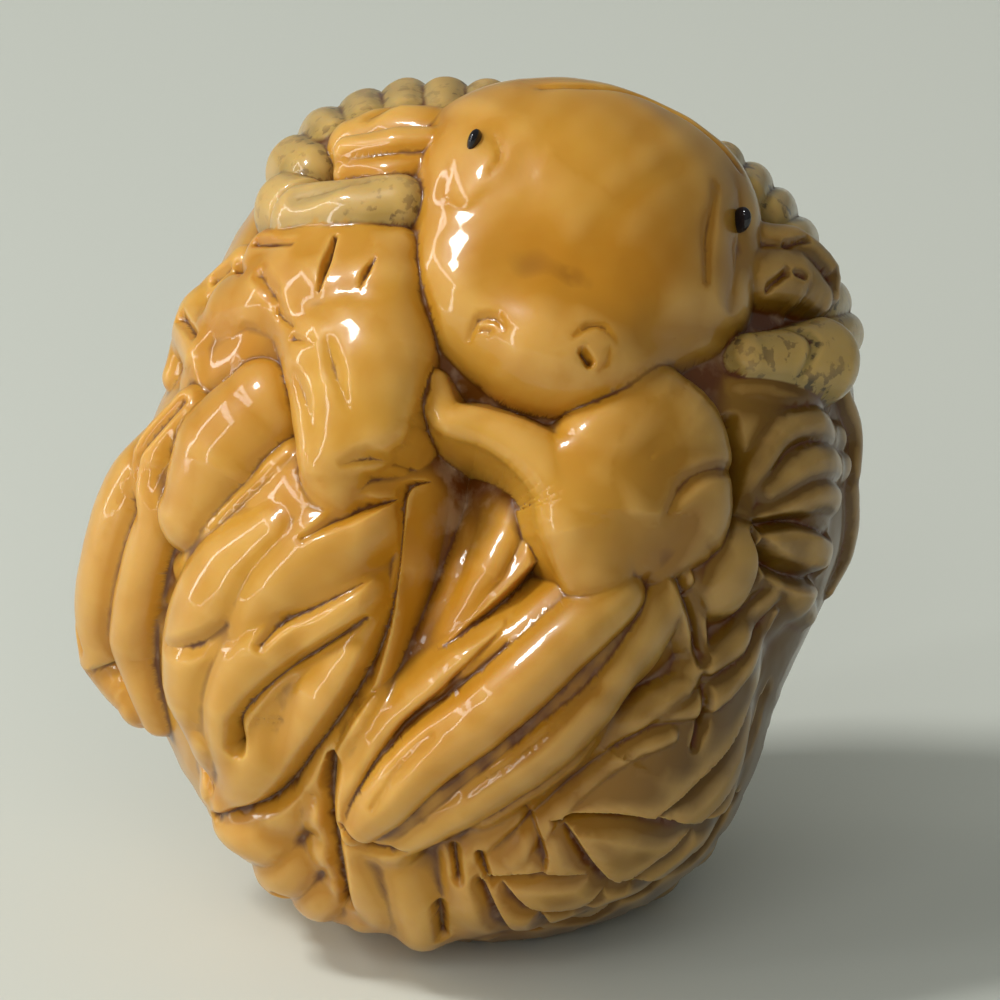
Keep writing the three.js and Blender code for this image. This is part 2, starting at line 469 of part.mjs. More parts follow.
// The hidden side is plainer: a parting runs down the spine, with locks of fleece combed away from it.
const SPINE = [[2, 19.5], [3.2, 12], [2.4, 2], [0, -8], [-3, -17]];
const INNER_LOCK = { out: [0.3, 4, 7.8, 11], down: [0, 1.4, 4.6, 9.5], start: 0 };
const OUTER_LOCK = { out: [8.5, 12.4, 15.5, 18], down: [2.6, 6.6, 11, 16.5], start: 2 };
const RIM_SHARE = 0.97;            // a lock stops short of the rim

function withinRim([u, v]) {
  const share = Math.hypot(u, v) / (RIM_SHARE * rimRadius(Math.atan2(v, u)));
  return share > 1 ? [u / share, v / share] : [u, v];
}

const fleece = { softness: 0.2, forms: [], grooves: [] };

// Round the sides, cuts combed downwards join the fleece to the carving of the face.
const SIDE_CUTS = 40;
const SIDE_CUT = { from: 0.74, to: 1.1, besideStrips: 1.03, combed: 0.22 }; // shares of the rim, radians
const STRIPS_BEYOND = -0.8;        // cosine of the angle past which the long strips lie, on the left

for (let i = 0; i < SIDE_CUTS; i++) {
  const angle = (i / SIDE_CUTS) * 2 * Math.PI;
  const end = angle - SIDE_CUT.combed * Math.cos(angle);
  const share = Math.cos(angle) < STRIPS_BEYOND ? SIDE_CUT.besideStrips : SIDE_CUT.to;
  const place = (at, part) => [part * rimRadius(at) * Math.cos(at), part * rimRadius(at) * Math.sin(at)];
  const halfway = place((angle + end) / 2, (SIDE_CUT.from + share) / 2);
  const line = [place(angle, SIDE_CUT.from), halfway, place(end, share)];
  trunk.grooves.push(new Stroke(line, [0.5, 1.2, 0.6], [0.3, 0.8, 0.4], { lift: CUT_LIFT, back: BACK }));
}

for (const side of [-1, 1]) {
  for (const [u, v] of along(SPINE, FLEECE_LOCKS)) {
    for (const { out, down, start } of [INNER_LOCK, OUTER_LOCK]) {
      const line = out.map((o, i) => withinRim([u + side * o, v + side + start - down[i]]));
      fleece.forms.push(lobe(line, [1.2, 1.9, 1.9, 0.6], [0.7, 1.4, 1.4, 0.6], { back: BACK }));
    }
  }
}

const FORMS = [
  trunk, fleece, leftArm, leftKnee, rightKnee, leftEar, leftHorn, rightEar, rightHorn, head, browBand,
];
const EDGE_SOFTNESS = 0.25;        // how softly one form meets the next

// ---------- the carved surface ----------
const nearBy = (form, q) => form.middle.distanceToSquared(q) < form.reach ** 2;

function carvedHeight(q, n) {
  let height = -50;
  for (const { base = -50, softness, forms, locks = [], grooves } of FORMS) {
    const rise = forms.filter((f) => nearBy(f, q)).reduce((h, f) => blend(h, f.rise(q, n), softness), base);
    if (rise < height - 2) continue;
    const lock = locks.filter((f) => nearBy(f, q)).reduce((h, f) => blend(h, f.rise(q), 0.3), 0);
    const cut = grooves.filter((f) => nearBy(f, q)).reduce((h, f) => blend(h, f.cut(q), 0.1), 0);
    height = blend(height, rise + lock - cut, EDGE_SOFTNESS);
  }
  return height;
}

const faceTilt = new THREE.Matrix4().makeRotationX(Math.PI / 2 - THREE.MathUtils.degToRad(FACE_TILT));
const stand = new THREE.Matrix4().makeTranslation(...BALL_CENTRE).multiply(faceTilt);

function carvedPoint(dir) {
  const q = onBall(dir);
  const n = outward(dir);
  return q.addScaledVector(n, carvedHeight(q, n)).applyMatrix4(stand);
}

const merged = (geometry) => {
  geometry.deleteAttribute('normal');
  geometry.deleteAttribute('uv');
  return mergeVertices(geometry);
};

// Corners gather towards the face, where most of the carving is.
function gather(dir) {
  const polar = Math.acos(THREE.MathUtils.clamp(dir.z, -1, 1));
  const turned = polar - FACE_SHARE * Math.sin(polar);
  const flat = Math.hypot(dir.x, dir.y) || 1;
  const out = Math.sin(turned) / flat;
  return new THREE.Vector3(dir.x * out, dir.y * out, Math.cos(turned));
}

// A corner near the bottom of a groove slides onto it, so that the groove's line shows in the facets.
const allGrooves = FORMS.flatMap((form) => form.grooves);
function snapped(dir) {
  const q = onBall(dir);
  const near = allGrooves.filter((g) => nearBy(g, q)).map((g) => g.nearest(q));
  const hits = near.filter((hit) => hit.distance < SNAP);
  if (!hits.length) return dir;
  hits.sort((a, b) => a.distance - b.distance);
  return hits[0].at.divide(ballAxes(dir)).normalize();
}

const SIDE = -0.1;                 // where the hidden side begins
const BACK_EASE = 2;               // and how much coarser it may be

function carvedBall() {
  const start = merged(new THREE.IcosahedronGeometry(1, FIRST_FACETS));
  const at = start.getAttribute('position');
  const corner = (_, i) => new THREE.Vector3().fromBufferAttribute(at, i).normalize();
  const dirs = Array.from({ length: at.count }, corner).map(gather).map(snapped);
  const points = dirs.map(carvedPoint);
  let facets = [];
  for (let i = 0; i < start.index.count; i += 3) {
    facets.push([0, 1, 2].map((k) => start.index.array[i + k]));
  }

  for (let pass = 0; pass < REFINE_PASSES; pass++) {
    const middles = new Map();
    const middleOf = (a, b) => {
      const key = a < b ? `${a},${b}` : `${b},${a}`;
      if (!middles.has(key)) {
        const dir = snapped(dirs[a].clone().add(dirs[b]).normalize());
        const point = carvedPoint(dir);
        const miss = point.distanceTo(points[a].clone().add(points[b]).multiplyScalar(0.5));
        const limit = SURFACE_TOLERANCE * (dir.z < SIDE ? BACK_EASE : 1);
        const halve = miss > limit && points[a].distanceTo(points[b]) > SHORTEST_FACET;
        middles.set(key, halve ? points.push(point) && dirs.push(dir) - 1 : -1);
      }
      return middles.get(key);
    };
    facets = facets.flatMap(([a, b, c]) => {
      const [ab, bc, ca] = [middleOf(a, b), middleOf(b, c), middleOf(c, a)];
      const halved = [ab, bc, ca].filter((m) => m >= 0).length;
      if (halved === 0) return [[a, b, c]];
      if (halved === 3) return [[a, ab, ca], [ab, b, bc], [ca, bc, c], [ab, bc, ca]];
      if (halved === 1) {
        if (ab >= 0) return [[a, ab, c], [ab, b, c]];
        if (bc >= 0) return [[a, b, bc], [a, bc, c]];
        return [[a, b, ca], [ca, b, c]];
      }
      // two edges halved: turn the facet so that the whole edge is p-q
      const [p, q, r, qr, rp] = ab < 0 ? [a, b, c, bc, ca] : bc < 0 ? [b, c, a, ca, ab] : [c, a, b, ab, bc];
      const short = points[p].distanceTo(points[qr]) < points[q].distanceTo(points[rp]);
      return [[rp, qr, r], ...(short ? [[p, q, qr], [p, qr, rp]] : [[p, q, rp], [q, qr, rp]])];
    });
  }
  const geometry = new THREE.BufferGeometry().setFromPoints(points);
  geometry.setIndex(facets.flat());
  return geometry;
}

// ---------- joining and cutting ----------
function solid(geometry) {
  const closed = geometry.index && !geometry.hasAttribute('normal') ? geometry : merged(geometry);
  const vertProperties = new Float32Array(closed.getAttribute('position').array);
  const triVerts = new Uint32Array(closed.index.array);
  return new wasm.Manifold(new wasm.Mesh({ numProp: 3, vertProperties, triVerts }));
}

function geometryOf(shape) {
  const { vertProperties, triVerts } = shape.getMesh();
  const geometry = new THREE.BufferGeometry();
  geometry.setAttribute('position', new THREE.BufferAttribute(new Float32Array(vertProperties), 3));
  geometry.setIndex(new THREE.BufferAttribute(new Uint32Array(triVerts), 1));
  geometry.computeVertexNormals();
  return geometry;
}

// The ground under the flat that the ball rests on.
const GROUND = { across: 60, thick: 10 };
const ground = new THREE.BoxGeometry(GROUND.across, GROUND.across, GROUND.thick)
  .translate(0, 0, -GROUND.thick / 2);

// Two cord holes low on the back, joined by a curved tunnel.
const CORD_PLACE = [0, -3];        // between the holes, on the back
const CORD_HOLE_RUN_OUT = [1.6, 4]; // how far the tunnel's ends run outwards and up, to clear the fleece

function cordTunnel() {
  const reach = CORD_HOLE_SPACING / 2;
  const [flare, above] = CORD_HOLE_RUN_OUT;
  const places = [
    [-reach - flare, above], [-reach, 0], [0, -CORD_TUNNEL_DEPTH], [reach, 0], [reach + flare, above],
  ];
  const middle = onBall(direction(CORD_PLACE, 0, BACK));
  const out = outward(direction(CORD_PLACE, 0, BACK));
  const point = ([across, height]) => middle.clone()
    .add(new THREE.Vector3(across, 0, 0))
    .addScaledVector(out, height);
  const curve = new THREE.CatmullRomCurve3(places.map(point));
  const hole = new THREE.Shape().absarc(0, 0, CORD_HOLE_RADIUS, 0, 2 * Math.PI);
  const options = { steps: 12, curveSegments: 10, bevelEnabled: false, extrudePath: curve };
  return new THREE.ExtrudeGeometry(hole, options).applyMatrix4(stand);
}

// An inlaid eye is a small egg of black horn set in a drilled socket.
const EYES = {
  left_eye: { place: [-0.25, 18.4], roll: -22 },
  right_eye: { place: [13.05, 14.55], roll: 12 },
};

const EYE_SUNK = 0.25;             // middle of the egg under the face
const SEAT_PASSES = 5;

function eyeShape({ place, roll }, grow) {
  let dir = direction(place, HEAD_LIFT, false);
  for (let pass = 0; pass < SEAT_PASSES; pass++) {
    dir = direction(place, carvedHeight(onBall(dir), outward(dir)), false);
  }
  const n = outward(dir);
  const seat = onBall(dir);
  seat.addScaledVector(n, carvedHeight(seat, n) - EYE_SUNK);
  const size = EYE_SIZE.map((s) => s + grow);
  const turn = new THREE.Quaternion().setFromUnitVectors(TOWARDS, n);
  const geometry = new THREE.SphereGeometry(1, 10, 6).rotateX(Math.PI / 2).scale(...size);
  geometry.rotateZ(THREE.MathUtils.degToRad(roll)).applyQuaternion(turn).translate(...seat);
  return geometry.applyMatrix4(stand);
}

let nut = solid(carvedBall()).subtract(solid(ground)).subtract(solid(cordTunnel()));
for (const eye of Object.values(EYES)) nut = nut.subtract(solid(eyeShape(eye, EYE_GAP)));

const nutMaterial = new THREE.MeshStandardMaterial({ color: 0xc98f3f, roughness: 0.3, metalness: 0 });
const hornMaterial = new THREE.MeshStandardMaterial({ color: 0x0b0a0c, roughness: 0.12, metalness: 0 });

const netsuke = new THREE.Group();
const ram = new THREE.Mesh(geometryOf(nut), nutMaterial);
ram.name = 'carved_ram';
netsuke.add(ram);
for (const [name, eye] of Object.entries(EYES)) {
  const inlay = new THREE.Mesh(eyeShape(eye, 0), hornMaterial);
  inlay.name = name;
  netsuke.add(inlay);
}

export default netsuke;
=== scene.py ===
"""A netsuke: a ram lying curled up, carved in one from a palm nut, with two inlaid eyes of black horn."""
import math
import bmesh
import bpy
import numpy as np
from mathutils import Matrix, Vector


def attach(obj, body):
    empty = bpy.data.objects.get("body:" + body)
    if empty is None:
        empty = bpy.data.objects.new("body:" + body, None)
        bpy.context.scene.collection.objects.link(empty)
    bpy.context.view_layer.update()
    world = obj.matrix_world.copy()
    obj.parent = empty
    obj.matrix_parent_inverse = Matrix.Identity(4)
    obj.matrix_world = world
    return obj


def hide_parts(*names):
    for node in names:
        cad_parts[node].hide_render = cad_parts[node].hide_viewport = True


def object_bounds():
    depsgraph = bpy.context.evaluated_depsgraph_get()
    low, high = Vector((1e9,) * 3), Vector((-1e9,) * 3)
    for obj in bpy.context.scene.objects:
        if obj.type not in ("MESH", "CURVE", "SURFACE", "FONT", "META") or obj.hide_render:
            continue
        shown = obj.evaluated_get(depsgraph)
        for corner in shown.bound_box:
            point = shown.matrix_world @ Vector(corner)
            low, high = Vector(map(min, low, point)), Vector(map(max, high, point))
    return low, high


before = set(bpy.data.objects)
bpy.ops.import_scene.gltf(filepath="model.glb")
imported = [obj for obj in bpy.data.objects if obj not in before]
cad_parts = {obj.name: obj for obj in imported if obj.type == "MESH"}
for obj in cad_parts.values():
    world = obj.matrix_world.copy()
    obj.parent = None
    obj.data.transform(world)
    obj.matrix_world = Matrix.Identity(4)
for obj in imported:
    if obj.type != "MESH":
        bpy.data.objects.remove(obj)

solid_box = [list(corner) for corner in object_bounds()]
low, high = (np.array(corner) for corner in solid_box)

# ---------------------------------------------------------------- camera
# A long lens, square on to the carved face: that looks 20 degrees up, so the camera looks 20 down.
FACE_TILT = math.radians(20)
FIELD = 0.050                      # metres across the picture, at the middle of the ball
DISTANCE = 1.2
SENSOR = 36.0
NEAREST = 0.05
BALL_CENTRE = np.array([0.54, 1.75, 20.3])     # millimetres, middle of the nut above its flat
PICTURE_MIDDLE = (1.0, 0.55)       # millimetres right of and above the middle of the ball

across = Vector((1, 0, 0))
upward = Vector((0, math.sin(FACE_TILT), math.cos(FACE_TILT)))
facing = Vector((0, -math.cos(FACE_TILT), math.sin(FACE_TILT)))
aim = (Vector(BALL_CENTRE) + PICTURE_MIDDLE[0] * across + PICTURE_MIDDLE[1] * upward) * 0.001
lens = bpy.data.cameras.new("camera")
lens.sensor_width = SENSOR
lens.lens = SENSOR * DISTANCE / FIELD
lens.clip_start = NEAREST
camera = bpy.data.objects.new("camera", lens)
camera.matrix_world = Matrix.Translation(aim + DISTANCE * facing) @ Matrix.Rotation(
    math.pi / 2 - FACE_TILT, 4, "X")
bpy.context.scene.collection.objects.link(camera)
bpy.context.scene.camera = camera

# ---------------------------------------------------------------- the carved ram
# One piece of palm nut, rough shaped as a ball and carved all over, then stained, waxed and polished.
# Places on the face are [across, up] from its middle, in millimetres. Lobes rise from the ball there
# and knife grooves are cut into them. The solid has the same main forms; the finer cuts are added here.
# Radius of the ball every 30 degrees, anticlockwise from the right as the face is seen.
RIM = np.array([18.7, 20.4, 21.4, 21.2, 19.6, 16.9, 17.7, 19, 21, 21.6, 21, 17.6])
DEPTH_FRONT = 16.6
DEPTH_BACK = 15.6
WRAP_FROM = 0.97                   # past this share of the rim a place wraps round the side
WRAP_RATE = 1 / math.sqrt(1 - WRAP_FROM ** 2)
LIFT_PASSES = 6                    # passes that settle where a raised crest stands


def between(a, b, c, d, f):
    """A share f of the way from b to c, on a smooth line through a, b, c and d."""
    bend, twist = 2 * a - 5 * b + 4 * c - d, 3 * b - 3 * c + d - a
    return 0.5 * (2 * b + (c - a) * f + bend * f ** 2 + twist * f ** 3)


def rim_radius(angle):
    count = len(RIM)
    place = (angle / (2 * np.pi) * count) % count
    i = np.floor(place).astype(int)
    f = place - i
    a, b, c, d = (RIM[(i + k) % count] for k in (-1, 0, 1, 2))
    return between(a, b, c, d, f)


def ball_axes(dirs):
    r = rim_radius(np.arctan2(dirs[:, 1], dirs[:, 0]))
    return np.stack([r, r, np.where(dirs[:, 2] < 0, DEPTH_BACK, DEPTH_FRONT)], 1)


def unit(vectors):
    return vectors / np.linalg.norm(vectors, axis=1, keepdims=True)


def on_ball(dirs):
    return dirs * ball_axes(dirs)


def outward(dirs):
    return unit(dirs / ball_axes(dirs))


def directions(places, lift=0.0, back=False):
    """Directions from the middle of the ball to places on its face, for a crest lift above it."""
    places = np.asarray(places, float)
    seen = places
    for _ in range(LIFT_PASSES):
        angle = np.arctan2(seen[:, 1], seen[:, 0])
        share = np.hypot(seen[:, 0], seen[:, 1]) / rim_radius(angle)
        polar = np.arcsin(np.minimum(share, WRAP_FROM)) + np.maximum(share - WRAP_FROM, 0) * WRAP_RATE
        depth = np.cos(polar) * (-1 if back else 1)
        dirs = np.stack([np.sin(polar) * np.cos(angle), np.sin(polar) * np.sin(angle), depth], 1)
        seen = places - lift * outward(dirs)[:, :2]
    return dirs


def smooth_line(places, steps):
    """Points at even steps of its parameter along a smooth line through a few places."""
    p = np.asarray(places, float)
    p = np.vstack([2 * p[0] - p[1], p, 2 * p[-1] - p[-2]])
    t = np.linspace(0, len(p) - 3, steps + 1)
    i = np.minimum(t.astype(int), len(p) - 4)
    f = (t - i)[:, None]
    a, b, c, d = p[i], p[i + 1], p[i + 2], p[i + 3]
    return between(a, b, c, d, f)


def along(places, count, steps=200):
    """Places at even distances along a smooth line through a few places."""
    line = smooth_line(places, steps)
    run = np.concatenate([[0], np.cumsum(np.linalg.norm(np.diff(line, axis=0), axis=1))])
    at = np.linspace(0, run[-1], count)
    return np.stack([np.interp(at, run, line[:, 0]), np.interp(at, run, line[:, 1])], 1)


def blend(a, b, softness):
    h = np.maximum(softness - np.abs(a - b), 0) / softness
    return np.maximum(a, b) + h ** 3 * softness / 6


LINE_STEP = 0.6                    # millimetres, roughly, between the points of a carved line
FEWEST_STEPS, MOST_STEPS = 4, 40
REACH_SHARE, REACH_MARGIN = 1.35, 0.4          # how far past its own width a stroke is still felt
LEAST_RISE = 0.001
FALL = 3                           # how steeply a lobe drops past its own edge
CUT_EASE = 1.5                     # how a cut eases out to its edges
FAR = 1e9


class Stroke:
    """A smooth line on the ball, with a half width and a height or depth that change along it."""

    def __init__(self, places, half_width, height, lift, back=False):
        length = np.linalg.norm(np.diff(np.asarray(places, float), axis=0), axis=1).sum()
        steps = int(np.clip(round(length / LINE_STEP) + 2, FEWEST_STEPS, MOST_STEPS))
        share = np.linspace(0, 1, steps + 1)
        self.at = on_ball(directions(smooth_line(places, steps), lift, back))
        widths, heights = np.atleast_1d(half_width), np.atleast_1d(height)
        self.width = np.interp(share, np.linspace(0, 1, len(widths)), widths)
        self.height = np.interp(share, np.linspace(0, 1, len(heights)), heights)
        self.middle = self.at.mean(0)
        farthest = np.linalg.norm(self.at - self.middle, axis=1).max()
        self.reach = farthest + self.width.max() * REACH_SHARE + REACH_MARGIN

    def near(self, q):
        return np.nonzero(((q - self.middle) ** 2).sum(1) < self.reach ** 2)[0]

    def nearest(self, q):
        best = np.full(len(q), FAR)
        width, height = np.zeros(len(q)), np.zeros(len(q))
        for i in range(len(self.at) - 1):
            run = self.at[i + 1] - self.at[i]
            t = np.clip((q - self.at[i]) @ run / (run @ run), 0, 1)
            away = q - self.at[i] - t[:, None] * run
            distance = np.sqrt((away ** 2).sum(1))
            closer = distance < best
            best[closer] = distance[closer]
            width[closer] = (self.width[i] + (self.width[i + 1] - self.width[i]) * t)[closer]
            height[closer] = (self.height[i] + (self.height[i + 1] - self.height[i]) * t)[closer]
        return best, width, height

    def rise(self, q, n=None):
        """Rounded like the top of a ball that is sunk into the surface."""
        distance, width, height = self.nearest(q)
        h = np.maximum(height, LEAST_RISE)
        radius = np.where(h < width, (width ** 2 + h ** 2) / (2 * h), width)
        inside = np.minimum(distance, radius)
        past = np.maximum(distance - radius, 0)
        return np.sqrt(radius ** 2 - inside ** 2) - (radius - h) - FALL * past

    def cut(self, q):
        """A knife cut: sharp at the bottom, easing out to its edges."""
        distance, width, depth = self.nearest(q)
        return depth * np.maximum(1 - distance / width, 0) ** CUT_EASE


NOWHERE = -50.0                    # a height that is lower than any form
TRACE_FROM, TRACE_TO = 10.0, -3.0  # heights between which a mass is looked for
TRACE_PASSES = 60
TRACE_ERROR = 0.002


class Mass:
    """Eggs that melt into one mass and stand out of the ball, such as skull, cheeks and muzzle."""

    def __init__(self, eggs, softness):
        self.softness = softness
        self.eggs = []
        for egg in eggs:
            turn = math.radians(egg["roll"])
            c, s = math.cos(turn), math.sin(turn)
            spin = np.array([[c, -s, 0], [s, c, 0], [0, 0, 1]])
            sizes = np.array(egg["half_sizes"], float)
            self.eggs.append((np.array([*egg["place"], egg["out"]], float), spin.T / sizes, sizes.min()))
        centres = np.array([centre for centre, _, _ in self.eggs])
        self.middle = centres.mean(0)
        spans = [np.linalg.norm(e["half_sizes"], np.inf) for e in eggs]
        self.reach = (np.linalg.norm(centres - self.middle, axis=1) + spans).max()

    near = Stroke.near

    def clearance(self, p):
        most = np.full(len(p), NOWHERE)
        for centre, to_egg, thin in self.eggs:
            share = np.linalg.norm((p - centre) @ to_egg, axis=1)
            most = blend(most, (1 - share) * thin, self.softness)
        return -most

    def rise(self, q, n):
        """Steps in from outside until the mass is met."""
        height = np.full(len(q), TRACE_FROM)
        live = np.arange(len(q))
        for _ in range(TRACE_PASSES):
            clear = self.clearance(q[live] + height[live, None] * n[live])
            moving = (clear > TRACE_ERROR) & (height[live] > TRACE_TO)
            height[live[moving]] -= clear[moving]
            live = live[moving]
            if not len(live):
                break
        height[height < TRACE_TO] = NOWHERE
        height[live] = np.minimum(height[live], NOWHERE)
        return height


CREST_SHARE = 0.7                  # share of a lobe's height at which its line is placed
GROOVE_LIFT = 1.2                  # height of the surface that a cut is placed on
STEP_EDGE = 0.22                   # width of the sharp side of a step
STEP_EASE = 1.3


def lobe(places, half_width, height, **options):
    lift = CREST_SHARE * float(np.max(height))
    return Stroke(places, half_width, height, lift, **options)


def groove(places, half_width, depth, lift=GROOVE_LIFT, **options):
    return Stroke(places, half_width, depth, lift, **options)


class Step(Stroke):
    """One lock laid over the next: the surface drops at the line and slopes back up on its low side."""

    def __init__(self, places, half_width, depth, low, lift=GROOVE_LIFT):
        super().__init__(places, half_width, depth, lift)
        self.low = low

    def cut(self, q):
        distance, width, depth = self.nearest(q)
        sign = np.zeros(len(q))
        best = np.full(len(q), FAR)
        for a, b in zip(self.at[:-1], self.at[1:]):
            middle = (a + b) / 2
            away = q - middle
            reach = (away ** 2).sum(1)
            side = np.cross(b - a, away) @ middle / np.linalg.norm(b - a) / np.linalg.norm(middle)
            closer = reach < best
            best[closer] = reach[closer]
            sign[closer] = side[closer]
        slope = np.maximum(1 - distance / width, 0) ** STEP_EASE
        edge = np.maximum(1 - distance / STEP_EDGE, 0)
        return depth * np.where(sign * self.low > 0, slope, edge)


